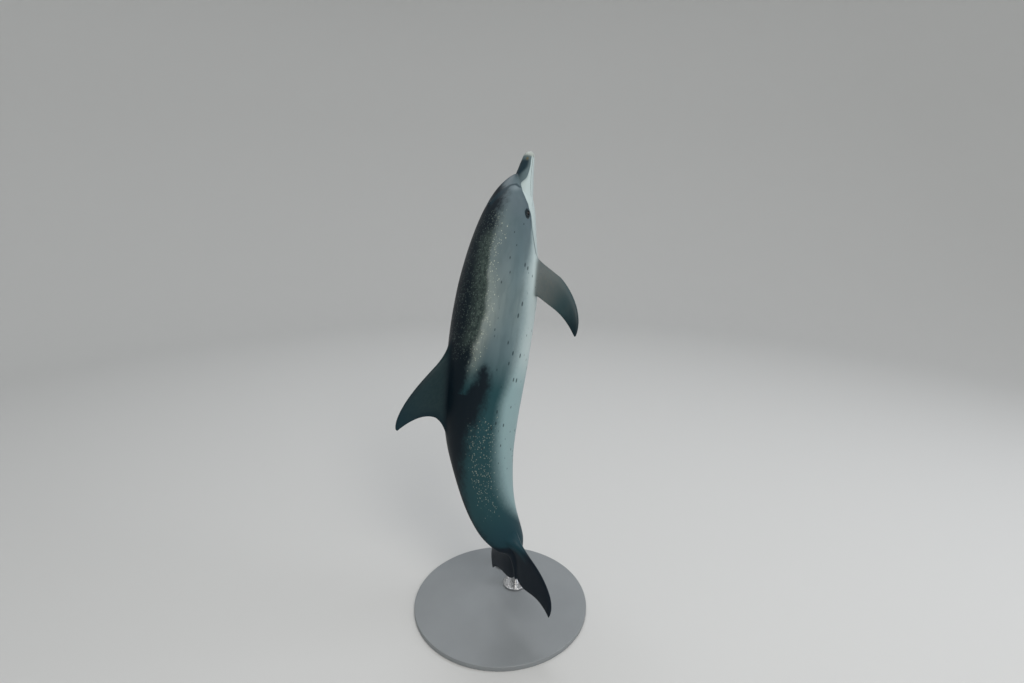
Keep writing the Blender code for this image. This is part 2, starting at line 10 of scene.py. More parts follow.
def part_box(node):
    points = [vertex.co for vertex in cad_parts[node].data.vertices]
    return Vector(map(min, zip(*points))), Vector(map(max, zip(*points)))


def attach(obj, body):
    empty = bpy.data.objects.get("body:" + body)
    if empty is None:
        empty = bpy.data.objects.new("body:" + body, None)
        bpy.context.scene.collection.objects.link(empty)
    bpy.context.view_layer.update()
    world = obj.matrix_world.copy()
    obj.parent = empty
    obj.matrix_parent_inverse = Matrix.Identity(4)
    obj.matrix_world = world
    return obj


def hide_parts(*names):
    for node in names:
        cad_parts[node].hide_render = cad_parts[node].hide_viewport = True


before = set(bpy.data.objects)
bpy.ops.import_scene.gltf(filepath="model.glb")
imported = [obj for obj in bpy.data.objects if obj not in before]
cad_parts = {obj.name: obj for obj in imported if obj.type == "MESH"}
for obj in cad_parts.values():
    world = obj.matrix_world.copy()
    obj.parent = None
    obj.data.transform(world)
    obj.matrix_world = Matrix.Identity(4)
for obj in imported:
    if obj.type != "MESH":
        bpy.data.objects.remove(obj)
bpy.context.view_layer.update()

# ------------------------------------------------------------------------------------------------
# The skin: a museum's cast of the whole animal in resin, from the beak to the flukes with every fin,
# in one closed piece with no seam. It is lofted from cross sections, its fins are grown out of
# openings in it, and it is bent into its pose.

# At rest, x is the animal's right, y forward and z its back, in shares of LENGTH; u is the station
# along it, 0 at the tip of the beak and 1 at the notch of the flukes.

LENGTH = 2.10
PIVOT, PIVOT_PLACE = 0.40, (-0.024, -0.026, 1.464)  # a station, and where it is in the room
LEAN_BACK, LEAN_ASIDE, ROLL = 15.3, 8.8, 25.0
# Bends of the spine over a stretch of stations: degrees towards the belly, of twist, and sideways.
BENDS = (
    ("neck", 0.02, 0.30, 3.0, -6.0, 4.5),
    ("chest", 0.22, 0.52, 6.0, -2.0, -7.0),
    ("loin", 0.45, 0.75, 16.5, 0.0, -3.0),
    ("tail stock", 0.66, 0.92, 20.5, 5.0, 4.0),
    ("fluke joint", 0.88, 0.96, -27.0, 5.0, -5.0),
)
SPINE_STEPS = 400

BACK = (
    (0.03, 0.0240), (0.07, 0.0430), (0.10, 0.0535), (0.13, 0.0610), (0.16, 0.0690), (0.20, 0.0766),
    (0.26, 0.0847), (0.33, 0.0904), (0.40, 0.0920), (0.46, 0.0910), (0.53, 0.0882), (0.60, 0.0846),
    (0.64, 0.0808), (0.68, 0.0752), (0.72, 0.0698), (0.76, 0.0650), (0.80, 0.0608), (0.84, 0.0560),
    (0.88, 0.0458), (0.90, 0.0385), (0.93, 0.0196), (0.955, 0.0084), (0.975, 0.0040), (1.00, 0.0020),
)
BELLY = (
    (0.00, 0.0100), (0.02, 0.0135), (0.05, 0.0205), (0.08, 0.0282), (0.12, 0.0382), (0.16, 0.0474),
    (0.20, 0.0573), (0.26, 0.0735), (0.33, 0.0825), (0.40, 0.0843), (0.46, 0.0845), (0.53, 0.0820),
    (0.60, 0.0765), (0.68, 0.0660), (0.76, 0.0572), (0.84, 0.0445), (0.90, 0.0318), (0.93, 0.0172),
    (0.955, 0.0078), (0.975, 0.0038), (1.00, 0.0019),
)
HALF_WIDTH = (
    (0.03, 0.0200), (0.06, 0.0300), (0.09, 0.0395), (0.125, 0.0503), (0.16, 0.0597), (0.20, 0.0695),
    (0.26, 0.0795), (0.33, 0.0840), (0.40, 0.0835), (0.46, 0.0802), (0.53, 0.0735), (0.60, 0.0640),
    (0.68, 0.0500), (0.76, 0.0370), (0.84, 0.0268), (0.90, 0.0208), (0.94, 0.0142), (0.97, 0.0082),
    (1.00, 0.0030),
)
BEAK_TOP = ((0.00, 0.0105), (0.02, 0.0130), (0.05, 0.0165), (0.08, 0.0195), (0.20, 0.0260))
BEAK_HALF_WIDTH = ((0.00, 0.0120), (0.02, 0.0152), (0.05, 0.0200), (0.08, 0.0258), (0.20, 0.0400))
TIP_ROUNDING = 0.013
MELON_APEX, MELON_SIDE = 0.060, 0.104
MELON_FRONT_TOP, MELON_FRONT_SIDE = 0.070, 0.064
KEEL_FROM, KEEL_FULL, KEEL_SHARPNESS = 0.60, 0.86, 0.32

# Rows and columns of the loft as (end of the stretch, steps in it): stations, then degrees round
# the section from the back to the belly.
ROWS = (
    (0.013, 12), (0.200, 118), (0.236, 12), (0.322, 27), (0.430, 26), (0.620, 62), (0.872, 58),
    (0.990, 54), (0.994, 3),
)
COLUMNS = ((9.0, 4), (68.0, 17), (112.0, 14), (117.0, 2), (139.0, 8), (180.0, 11))

FOIL_FRONT, FOIL_REAR = 28.0, 14.0
EDGE_THICKNESS = 0.0012
# A fin's section is a common wing section: (power of the share of its chord, weight) of each term.
FOIL = ((0.5, 2.969), (1, -1.26), (2, -3.516), (3, 2.843), (4, -1.036))
FILLET_STEPS, FIN_STEPS = 8, 30
FAIRING_PASSES, TAIL_STATIONS = 24, (0.915, 0.988)  # the tail's end is faired into the flukes
JAW_STATIONS, JAW_DEGREES = (0.094, 0.124), 79.0  # the melon's crease fades out under these
FLIPPER_DROP = math.radians(50.0)  # under level
LEFT_FLUKE_DROOP = -0.016
# A fin's leading and trailing edges are (rearward, outward) points, its fillet and foot are shares of
# its span, and its axes are an origin, the way outward and the way one face looks.
FINS = {
    "dorsal": {
        "stations": (0.430, 0.620),
        "degrees": (-9.0, 9.0),
        "leading": ((0.440, 0.088), (0.480, 0.095), (0.570, 0.200), (0.598, 0.190)),
        "trailing": ((0.612, 0.078), (0.570, 0.100), (0.575, 0.140), (0.600, 0.187)),
        "thickness": (0.0125, 0.0030),
        "fillet": 0.22,
        "foot": 0.0,
        "axes": ((0, 0, 0), (0, 0, 1), (1, 0, 0)),
    },
    "flipper": {
        "stations": (0.236, 0.322),
        "degrees": (117.0, 139.0),
        "leading": ((0.000, -0.004), (0.010, 0.055), (0.090, 0.120), (0.147, 0.105)),
        "trailing": ((0.070, -0.004), (0.095, 0.045), (0.100, 0.070), (0.148, 0.102)),
        "thickness": (0.0165, 0.0030),
        "fillet": 0.22,
        "foot": 0.0,
        "axes": (
            (0.0600, -0.244, -0.0450),
            (math.cos(FLIPPER_DROP), 0, -math.sin(FLIPPER_DROP)),
            (-math.sin(FLIPPER_DROP), 0, -math.cos(FLIPPER_DROP)),
        ),
    },
    "fluke": {
        "stations": (0.872, 0.990),
        "degrees": (68.0, 112.0),
        "leading": ((0.874, 0.010), (0.920, 0.040), (0.955, 0.160), (1.026, 0.121)),
        "trailing": ((0.998, 0.004), (1.020, 0.020), (0.985, 0.075), (1.027, 0.118)),
        "thickness": (0.0165, 0.0035),
        "fillet": 0.30,
        "foot": 0.13,
        "axes": ((0, 0, 0), (1, 0, 0), (0, 0, -1)),
    },
}


def curve(points):
    """A smooth curve through (station, value) points that never overshoots them, for arrays."""
    x, y = np.array(points, float).T
    step, slope = np.diff(x), np.zeros(len(x))
    rise = np.diff(y) / step
    for i in range(1, len(x) - 1):
        if rise[i - 1] * rise[i] > 0:
            before, after = 2 * step[i] + step[i - 1], step[i] + 2 * step[i - 1]
            slope[i] = (before + after) / (before / rise[i - 1] + after / rise[i])
    slope[0], slope[-1] = rise[0], rise[-1]

    def value(u):
        u = np.clip(u, x[0], x[-1])
        i = np.clip(np.searchsorted(x, u, side="right") - 1, 0, len(step) - 1)
        t = (u - x[i]) / step[i]
        ends = y[i] * (1 + 2 * t) * (1 - t) ** 2 + y[i + 1] * t * t * (3 - 2 * t)
        return ends + step[i] * t * (1 - t) * (slope[i] * (1 - t) - slope[i + 1] * t)

    return value


def rise(low, high, value):
    """A smooth step from 0 at low to 1 at high."""
    t = np.clip((value - low) / (high - low), 0.0, 1.0)
    return t * t * (3 - 2 * t)


def fall(low, high, value):
    return 1 - rise(low, high, value)


def hump(distance, width):
    """1 at a middle, and less on both sides of it."""
    return np.exp(-((distance / width) ** 2))


def mix(a, b, share):
    return a + (b - a) * share


back, belly, half_width = curve(BACK), curve(BELLY), curve(HALF_WIDTH)
beak_top, beak_half_width = curve(BEAK_TOP), curve(BEAK_HALF_WIDTH)


def melon_share(u, side):
    """How far a section has grown from beak to head: side is 0 on top and 1 at the side."""
    front = MELON_APEX + (MELON_SIDE - MELON_APEX) * side**1.5
    depth = MELON_FRONT_TOP + (MELON_FRONT_SIDE - MELON_FRONT_TOP) * side
    t = np.clip((u - front) / depth, 0.0, 1.0)
    return np.sqrt(1 - (1 - t) ** 2)


def section_sizes(u, side):
    """Half the width here and at the side, the height above and the depth below the spine."""
    rounding = np.sqrt(1 - (1 - np.minimum(u / TIP_ROUNDING, 1.0)) ** 2)
    here = melon_share(u, side)
    width_side = mix(beak_half_width(u), half_width(u), melon_share(u, 1.0))
    width = mix(beak_half_width(u), half_width(u), here)
    top = mix(beak_top(u), back(u), here)
    return width * rounding, width_side * rounding, top * rounding, belly(u) * rounding


def surface(u, angle):
    """Points of the body at rest: angle runs from the back round the right side."""
    s, c = np.sin(angle), np.cos(angle)
    side = np.where(c > 0, np.abs(s), 1.0)
    width, width_side, top, bottom = section_sizes(u, side)
    keel = 1 + KEEL_SHARPNESS * rise(KEEL_FROM, KEEL_FULL, u)
    x = np.where(c > 0, width, width_side) * np.sign(s) * np.abs(s) ** keel
    return np.stack((x, -u + 0 * x, np.where(c > 0, top, bottom) * c), axis=-1)


def steps(stretches):
    values = [0.0]
    for end, number in stretches:
        first = values[-1]
        values += [first + (end - first) * (i + 1) / number for i in range(number)]
    return values


def bezier(points, t):
    a, b, c, d = (np.array(p, float) for p in points)
    return a * (1 - t) ** 3 + 3 * b * t * (1 - t) ** 2 + 3 * c * t * t * (1 - t) + d * t**3


def loop_angles(along, across):
    """Angles round a foil: back along one side from its front, round its rear and forward again."""
    front, rear = math.radians(FOIL_FRONT), math.pi - math.radians(FOIL_REAR)
    side = [front + (rear - front) * i / along for i in range(along + 1)]
    behind = [rear + (2 * math.pi - 2 * rear) * i / across for i in range(1, across)]
    ahead = [-front + 2 * front * i / across for i in range(1, across)]
    return np.array(side + behind + [2 * math.pi - a for a in reversed(side)] + ahead)


def fin_loop(fin, t, angles, droop):
    """One foil section of a right fin at share t of its span, and how far each point is behind."""
    origin, outward, facing = (np.array(axis, float) for axis in fin["axes"])
    front, rear = bezier(fin["leading"], t), bezier(fin["trailing"], t)
    root, tip = fin["thickness"]
    thickness = mix(root, tip, t**0.8) * math.sqrt(max(1 - t**8, 0.05))
    chord = (1 - np.cos(angles)) / 2
    foil = sum(weight * chord**power for power, weight in FOIL)
    half = np.sign(np.sin(angles)) * foil * thickness / 2 + np.sin(angles) * EDGE_THICKNESS / LENGTH
    at = mix(front, rear, chord[:, None])
    points = origin + outward * at[:, 1:] + facing * half[:, None]
    points[:, 1] -= at[:, 0]
    points[:, 2] += droop * (at[:, 1] / fin["trailing"][3][1]) ** 2
    return points, chord


def onto_body(points):
    """The body's surface at the same stations, outward of each point."""
    u = np.clip(-points[:, 1], 0.0, 1.0)
    width, _, top, bottom = section_sizes(u, 1.0)
    height = np.where(points[:, 2] > 0, top, bottom)
    return surface(u, np.arctan2(points[:, 0] / width, points[:, 2] / height))


# The rows at the tip crowd together as it rounds off.
rows = np.array([u * u / TIP_ROUNDING if u < TIP_ROUNDING else u for u in steps(ROWS)])
right = steps(COLUMNS)
columns = np.array(right + [-a for a in right[-2:0:-1]])
count = len(columns)

places, kinds, faces, corners, fairing = [], [], [], [], set()
measures = {"station": [], "girth": [], "share": [], "chord": []}


def put(points, kind, **values):
    """Adds vertices with what the markings need to know of each, and returns their numbers."""
    first = len(places)
    places.extend(points)
    kinds.extend([kind] * len(points))
    for name, value in values.items():
        measures[name].extend(np.broadcast_to(value, len(points)))
    return list(range(first, len(places)))


def weave(lower, upper, left, width, v, flip=False, skip=()):
    """Joins two rings with faces but for those skipped, each with its square on the bake map."""
    size = len(lower)
    for k in range(size):
        n = (k + 1) % size
        a, b = left + width * k / size, left + width * (k + 1) / size
        if k not in skip:
            face = (lower[k], lower[n], upper[n], upper[k])
            square = ((a, v[0]), (b, v[0]), (b, v[1]), (a, v[1]))
            faces.append(face[::-1] if flip else face)
            corners.append(square[::-1] if flip else square)


grid = []
for u in rows:
    ring = surface(np.full(count, u), np.radians(columns))
    grid.append(put(ring, 0, station=u, girth=np.abs(columns), share=0, chord=0))
for j in grid[0][1:]:
    places[j] = places[grid[0][0]]

# The bake map: the body's grid fills the left three quarters, and each fin has a strip beside it.
MAP_BODY, MAP_GAP = 0.74, 0.01
STRIP_TALL, TIP_AT, END_AT, SPOT = 0.17, 0.18, 0.195, 0.004  # a strip, and where the end caps are
STRIPS = (("dorsal", 1), ("flipper", 1), ("flipper", -1), ("fluke", 1), ("fluke", -1))

openings, open_faces = {}, set()
for kind, fin in FINS.items():
    first, last = (int(np.argmin(np.abs(rows - u))) for u in fin["stations"])
    low, high = (int(np.argmin(np.abs(columns - a))) for a in fin["degrees"])
    across = (high - low) % count
    rim = [(i, high) for i in range(first, last + 1)]
    rim += [(last, (high - k) % count) for k in range(1, across)]
    rim += [(i, low) for i in range(last, first - 1, -1)]
    rim += [(first, (low + k) % count) for k in range(1, across)]
    for side in (1,) if kind == "dorsal" else (1, -1):
        openings[kind, side] = ([(i, side * j % count) for i, j in rim], last - first, across)
        for i in range(first, last):
            for k in range(across):
                j = (low + k) % count
                open_faces.add((i, j if side > 0 else (-j - 1) % count))

for i, u in enumerate(rows):
    if TAIL_STATIONS[0] < u < TAIL_STATIONS[1]:
        fairing.update(grid[i])
    if JAW_STATIONS[0] < u < JAW_STATIONS[1]:
        fairing.update(grid[i][j] for j in range(count) if abs(columns[j]) > JAW_DEGREES)

for j in range(count):
    n, a, b = (j + 1) % count, j / count * MAP_BODY, (j + 1) / count * MAP_BODY
    faces.append((grid[0][0], grid[1][n], grid[1][j]))
    corners.append(((a, rows[0]), (b, rows[1]), (a, rows[1])))
for i in range(1, len(rows) - 1):
    left_out = {j for j in range(count) if (i, j) in open_faces}
    weave(grid[i], grid[i + 1], 0, MAP_BODY, (rows[i], rows[i + 1]), skip=left_out)
faces.append(tuple(grid[-1]))
ends = [(math.cos(a) * SPOT, math.sin(a) * SPOT) for a in np.radians(columns)]
corners.append([(MAP_BODY + 2 * MAP_GAP + a, END_AT + b) for a, b in ends])

NUMBERS = {"dorsal": 1, "flipper": 2, "fluke": 3}
for (kind, side), (rim, along, across) in openings.items():
    fin, number = FINS[kind], NUMBERS[kind]
    mirror = np.array((side, 1, 1))
    droop = LEFT_FLUKE_DROOP if (kind, side) == ("fluke", -1) else 0.0
    angles = loop_angles(along, across)
    edge = np.array([places[grid[i][j]] for i, j in rim])
    rim_u = np.array([rows[i] for i, _ in rim])
    rim_girth = np.array([abs(columns[j]) for _, j in rim])
    foot, chord = fin_loop(fin, fin["foot"], angles, droop)
    foot = (foot if fin["foot"] else onto_body(foot)) * mirror
    start = fin_loop(fin, fin["fillet"], angles, droop)[0] * mirror
    rings = []
    for t in np.linspace(0, 1, FILLET_STEPS + 1)[1:]:
        ring = edge * (1 - t) ** 2 + 2 * foot * t * (1 - t) + start * t * t
        rings.append((ring, fin["fillet"] * (t - 1)))
    for step in range(1, FIN_STEPS + 1):
        t = mix(fin["fillet"], 1.0, math.sin(math.pi / 2 * step / FIN_STEPS))
        rings.append((fin_loop(fin, t, angles, droop)[0] * mirror, t - fin["fillet"]))
    loops = [[grid[i][j] for i, j in rim]]
    for ring, share in rings:
        loops.append(put(ring, number, station=rim_u, girth=rim_girth, share=share, chord=chord))
    for loop in loops[: FILLET_STEPS + 3]:
        fairing.update(loop)
    left, width, bottom = MAP_BODY + MAP_GAP, 1 - MAP_BODY - 2 * MAP_GAP, STRIPS.index((kind, side)) / 5
    for r, (lower, upper) in enumerate(zip(loops, loops[1:])):
        v = [bottom + STRIP_TALL * k / len(loops) for k in (r, r + 1)]
        weave(lower, upper, left, width, v, flip=side < 0)
    last = loops[-1]
    near, far = last[: along + 1], last[along + across : 2 * along + across + 1][::-1]
    behind, ahead = last[along + 1 : along + across], last[2 * along + across + 1 :]
    cap = [(near[k], near[k + 1], far[k + 1], far[k]) for k in range(along)]
    cap += [(near[-1], *behind, far[-1]), (far[0], *ahead, near[0])]
    for k, face in enumerate(cap):
        u, v, wide = left + width * k / len(cap), bottom + TIP_AT, 0.4 * width / len(cap)
        faces.append(face)
        corners.append([(u + wide * (m % 2), v + SPOT * (m // 2 % 2)) for m in range(len(face))])

flesh = bpy.data.meshes.new("skin")
flesh.from_pydata([tuple(p) for p in places], [], faces)
bake_map = flesh.uv_layers.new(name="OFBake")
bake_map.data.foreach_set("uv", np.array([c for face in corners for c in face], "f").ravel())
for name, values in measures.items():
    flesh.attributes.new(name, "FLOAT", "POINT").data.foreach_set("value", np.array(values, "f"))
flesh.attributes.new("kind", "INT", "POINT").data.foreach_set("value", np.array(kinds, "i"))

skin_mesh = bmesh.new()
skin_mesh.from_mesh(flesh)
skin_mesh.verts.ensure_lookup_table()
fair = [skin_mesh.verts[i] for i in fairing]
axes = {f"use_axis_{axis}": True for axis in "xyz"}
for _ in range(FAIRING_PASSES):
    bmesh.ops.smooth_vert(skin_mesh, verts=fair, factor=0.5, **axes)
loose = [v for v in skin_mesh.verts if not v.link_faces]
bmesh.ops.delete(skin_mesh, geom=loose, context="VERTS")
bmesh.ops.recalc_face_normals(skin_mesh, faces=skin_mesh.faces)

# The face and the folds of the belly. Each is a swell or a groove of the skin, in millimetres.
MOUTH = curve(((-0.02, -0.0005), (0.03, -0.0030), (0.075, -0.0075), (0.110, -0.0165), (0.128, -0.0140)))
MOUTH_CORNER = 0.128
EYE_STATION, EYE_HEIGHT, EYE_RADIUS, EYE_DEPTH = 0.151, -0.001, 0.0062, 0.0048
LID_LENGTH, LID_HEIGHT, LID_SLOPE = 9.5, 6.2, 0.10  # the opening between the lids, as half sizes
BLOWHOLE, BLOWHOLE_HALF, BLOWHOLE_BOW = 0.147, 13.0, 6.0  # station, half width, how far it bows
EAR_BEHIND = 58.0  # how far an ear is behind its eye
# The navel, the genital slit and the anus: station, half length and depth, on the belly's midline.
SLITS = ((0.445, 13.0, 3.0), (0.645, 30.0, 5.0), (0.684, 10.0, 4.5))
MM = LENGTH * 1000
HEAD_SIDE, LID_RIM = 0.02, 1.15  # off the midline, and over the size of the lids' opening
FAR = 99.0  # the distance given where a form isn't


def eye_ratio(x, u, z):
    """Distance from an eye's middle, where 1 is the edge of its opening."""
    along, up = (u - EYE_STATION) * MM, (z - EYE_HEIGHT) * MM
    tilted = up + LID_SLOPE * along
    return np.where(np.abs(x) > HEAD_SIDE, np.hypot(along / LID_LENGTH, tilted / LID_HEIGHT), FAR)


def mouth_distance(u, z):
    """Height over the line of the mouth in millimetres, and how far the line still runs."""
    return (z - MOUTH(u)) * MM, fall(MOUTH_CORNER - 0.004, MOUTH_CORNER + 0.003, u)


def blowhole_distance(x, u, z):
    across = np.abs(x) * MM
    bow = BLOWHOLE - (across / BLOWHOLE_HALF) ** 2 * BLOWHOLE_BOW / MM
    ends = np.maximum(across - BLOWHOLE_HALF, 0.0)
    return np.where(z > 0, np.hypot((u - bow) * MM, ends), FAR)


def relief(x, u, z):
    """How far the skin stands out, in millimetres, over the plain body."""
    # The lips, on both sides of the groove of the mouth.
    height, runs = mouth_distance(u, z)
    out = (0.9 * hump(np.abs(height) - 5.5, 3.0) - 2.4 * hump(height, 1.5)) * runs
    # The lids, with a fold round them, and the socket inside them.
    e = eye_ratio(x, u, z)
    lid = 2.7 * hump(e - LID_RIM, 0.55) + 1.2 * hump(e - 1.9, 0.9) - 0.7 * hump(e - 2.1, 0.16)
    out = out + np.where(e < LID_RIM, mix(2.7, -5.0, fall(0.82, 1.02, e)), lid)
    # The blowhole on its low mound, and the pinhole of an ear.
    hole = blowhole_distance(x, u, z)
    out = out + 1.6 * hump(hole, 16) - 4.5 * hump(hole, 1.7)
    ear = np.hypot((u - EYE_STATION) * MM - EAR_BEHIND, (z - EYE_HEIGHT) * MM + 3)
    out = out - np.where(np.abs(x) > HEAD_SIDE, 1.6 * hump(ear, 1.6), 0)
    for station, half, deep in SLITS:
        beyond = np.maximum(np.abs((u - station) * MM) - half, 0.0)
        away = np.where(z < 0, np.hypot(x * MM / 2.2, beyond / 3.0), FAR)
        out = out + 0.8 * hump(away - 3, 1.6) - deep * hump(away, 1)
    return out


def near_detail(x, u, z):
    """Where the skin's mesh has to be finer: 0, 1 or 2 cuts."""
    height, runs = mouth_distance(u, z)
    e = eye_ratio(x, u, z)
    hole = blowhole_distance(x, u, z)
    fine = (e < 2.6) | (hole < 7)
    some = fine | ((np.abs(height) < 7) & (runs > 0)) | (e < 3.6)
    for station, half, _ in SLITS:
        some = some | ((z < 0) & (np.abs(x) * MM < 9) & (np.abs((u - station) * MM) < half + 9))
    return some.astype(int) + fine


for level in (1, 2):
    skin_mesh.verts.ensure_lookup_table()
    rest = np.array([v.co for v in skin_mesh.verts])
    wanted = near_detail(rest[:, 0], -rest[:, 1], rest[:, 2]) >= level
    skin_mesh.verts.index_update()
    cut = [e for e in skin_mesh.edges if wanted[e.verts[0].index] or wanted[e.verts[1].index]]
    bmesh.ops.subdivide_edges(skin_mesh, edges=cut, cuts=1, use_grid_fill=True)
many = [f for f in skin_mesh.faces if len(f.verts) > 4]
bmesh.ops.triangulate(skin_mesh, faces=many)
skin_mesh.normal_update()
rest = np.array([v.co for v in skin_mesh.verts])
normals = np.array([v.normal for v in skin_mesh.verts])
skin_mesh.to_mesh(flesh)
skin_mesh.free()
raised = rest + normals * (relief(rest[:, 0], -rest[:, 1], rest[:, 2]) / MM)[:, None]


def spine():
    """Places and directions of the spine at even stations: columns right, forward and dorsal."""
    at = np.linspace(0, 1, SPINE_STEPS + 1)
    rates = np.zeros((SPINE_STEPS + 1, 3))
    for _, begin, end, to_belly, twist, sideways in BENDS:
        bell = (1 - np.cos(2 * math.pi * np.clip((at - begin) / (end - begin), 0, 1))) / (end - begin)
        rates += np.outer(bell, np.radians((to_belly, twist, sideways)))
    upright = Matrix(((0, 0, -1), (-1, 0, 0), (0, 1, 0)))
    turned = Matrix.Rotation(math.radians(ROLL), 3, "Z") @ upright
    leaned = Matrix.Rotation(math.radians(-LEAN_BACK), 3, "X") @ turned
    trunk = Matrix.Rotation(math.radians(LEAN_ASIDE), 3, "Y") @ leaned
    middle = round(PIVOT * SPINE_STEPS)
    turns, spots = {middle: trunk}, {middle: Vector(PIVOT_PLACE)}
    for way in (1, -1):
        i = middle
        while 0 <= i + way <= SPINE_STEPS:
            small = Vector((rates[i] + rates[i + way]) / 2 / SPINE_STEPS * way)
            turns[i + way] = turns[i] @ Matrix.Rotation(small.length, 3, small.normalized() or "X")
            along = (turns[i].col[1] + turns[i + way].col[1]) / 2
            spots[i + way] = spots[i] - along * LENGTH / SPINE_STEPS * way
            i += way
    order = range(SPINE_STEPS + 1)
    return np.array([spots[i] for i in order]), np.array([turns[i] for i in order])


SPINE_PLACES, SPINE_TURNS = spine()


def posed(points):
    """Rest points, in shares of LENGTH, at their places on the bent spine, in metres."""
    u = -points[:, 1]
    held = np.clip(u, 0.0, 1.0) * SPINE_STEPS
    i = np.minimum(held.astype(int), SPINE_STEPS - 1)
    t = (held - i)[:, None]
    place = mix(SPINE_PLACES[i], SPINE_PLACES[i + 1], t)
    turn = mix(SPINE_TURNS[i], SPINE_TURNS[i + 1], t[:, None])
    turn /= np.linalg.norm(turn, axis=1, keepdims=True)
    local = np.stack((points[:, 0], np.clip(u, 0.0, 1.0) - u, points[:, 2]), axis=-1)
    return place + np.einsum("nij,nj->ni", turn, local) * LENGTH


flesh.vertices.foreach_set("co", posed(raised).astype("f").ravel())
flesh.update()
flesh.shade_smooth()


def placed(name, data):
    """A new object in the scene."""
    made = bpy.data.objects.new(name, data)
    bpy.context.scene.collection.objects.link(made)
    return made


skin = placed("skin", flesh)

# ------------------------------------------------------------------------------------------------
# The skin's markings: those of an Atlantic spotted dolphin. A dark cape, a pale blaze that sweeps up to the
# dorsal fin, grey flanks, a white belly and dark tail stock, with pale flecks and dark spots, and a painted
# highlight on the melon's pale lobe.
# They are worked out at rest, so that they follow the animal's own shape: numbers set against u are
# stations, against girth degrees from the back, and against a distance millimetres of skin.

CAPE_EDGE = curve(
    ((0.085, -10), (0.100, 14), (0.113, 30), (0.135, 36), (0.166, 39), (0.20, 43), (0.25, 43), (0.30, 46))
    + ((0.34, 51), (0.38, 53), (0.41, 51), (0.44, 46), (0.47, 44), (0.50, 42), (0.52, 39), (0.538, 36))
)
CAPE_SOFTNESS = curve(
    ((0.10, 30), (0.14, 40), (0.18, 40), (0.22, 26), (0.28, 10), (0.36, 11), (0.42, 17), (0.47, 24))
    + ((0.52, 26), (0.56, 30), (0.62, 38), (0.75, 38))
)
BLAZE_RUN = curve(
    ((0.13, 0.0), (0.20, 0.35), (0.27, 0.40), (0.32, 1.0), (0.46, 1.0), (0.51, 0.7), (0.545, 0.0))
)
LOBE_TIP, LOBE_MERGES = (0.471, 64.5), 0.537
LOBE_UPPER = curve((LOBE_TIP, (0.481, 58.5), (0.504, 53), (0.524, 45), (0.538, 36)))
LOBE_LOWER = curve(
    (LOBE_TIP, (0.484, 72), (0.504, 75), (0.529, 75), (0.554, 70.5), (0.569, 66), (0.589, 60))
    + ((0.609, 54), (0.632, 48), (0.684, 34), (0.74, 20), (0.90, 10))
)
LIP_EDGE = curve(
    ((0.00, 78), (0.024, 80), (0.036, 84), (0.047, 82), (0.061, 76), (0.068, 70), (0.074, 58), (0.081, 43))
    + ((0.093, 58), (0.108, 76), (0.118, 84), (0.129, 90), (0.140, 94), (0.148, 99), (0.167, 105))
    + ((0.19, 107),)
)
BELLY_EDGE = curve(
    ((0.190, 107), (0.213, 108), (0.25, 105), (0.295, 102), (0.34, 105), (0.385, 108), (0.447, 107))
    + ((0.50, 102), (0.557, 95), (0.61, 95), (0.67, 97), (0.74, 103), (0.79, 114), (0.82, 130), (0.86, 165))
    + ((0.88, 200),)
)
BELLY_SOFTNESS = curve(
    ((0.150, 2.5), (0.167, 6), (0.20, 22), (0.295, 34), (0.385, 42), (0.447, 42), (0.50, 40), (0.557, 34))
    + ((0.62, 38), (0.67, 44), (0.74, 48), (0.82, 48))
)
MELON_ARCH = ((0.146, 7), (0.132, 12), (0.123, 20), (0.109, 26), (0.097, 31), (0.090, 40), (0.093, 52))
FLIPPER_STRIPE = ((0.166, 101), (0.181, 106.3), (0.195, 111), (0.211, 116.2), (0.227, 122), (0.243, 128))
EYE_PATCH = (0.1530, 89.4, 21.0, 11.5)  # station, degrees and half sizes in millimetres
# The shares of a fin's span over which its colour starts.
FIN_FEET = {"dorsal": (-0.20, 0.02), "flipper": (-0.215, -0.12), "fluke": (-0.12, 0.04)}


def values_of(name, kind="f"):
    found = flesh.attributes[name].data
    store = np.zeros(len(found), kind)
    found.foreach_get("value", store)
    return store


u, girth, share, chord = (values_of(name) for name in measures)
kind_of = values_of("kind", "i")
x, z = rest[:, 0], rest[:, 2]
degree = (half_width(u) + back(u)) / 2 * MM * math.pi / 180  # millimetres round the body


def behind(station):
    """Millimetres along the body from a station."""
    return (u - station) * MM


def below(angle):
    """Millimetres round the body from an angle."""
    return (girth - angle) * degree


def within(start, full, last, end):
    """1 over a stretch of stations, and less at its ends."""
    return rise(start, full, u) * fall(last, end, u)


def line_distance(points):
    """Millimetres to the left of a line of (station, degrees) points, and how near its run is."""
    nearest = beyond = np.full(len(u), 999.0)
    for (a, b), (c, d) in zip(points, points[1:]):
        run, climb = (c - a) * MM, (d - b) * degree
        size = np.hypot(run, climb)
        t = (behind(a) * run + below(b) * climb) / size**2
        over = np.maximum(np.maximum(-t, t - 1), 0) * size
        aside = (behind(a) * climb - below(b) * run) / size
        closer = np.hypot(aside, over) < np.hypot(nearest, beyond)
        nearest, beyond = np.where(closer, aside, nearest), np.where(closer, over, beyond)
    return nearest, fall(2, 9, beyond)


# The cape and its lobe, as the distance inside their edge over half the edge's width.
front_cape = -below(CAPE_EDGE(u))
lobe = np.minimum(below(LOBE_UPPER(u)), -below(LOBE_LOWER(u)))
lobe = np.where(u < LOBE_TIP[0], -np.hypot(behind(LOBE_TIP[0]), below(LOBE_TIP[1])), lobe)
cape = np.where(u > LOBE_MERGES, -below(LOBE_LOWER(u)), np.maximum(front_cape, lobe))
cape_soft = cape / CAPE_SOFTNESS(u)
cape_depth = mix(1, rise(0, 135, cape), rise(0.17, 0.24, u))
cape_depth = np.maximum(cape_depth, rise(0.41, 0.47, u))

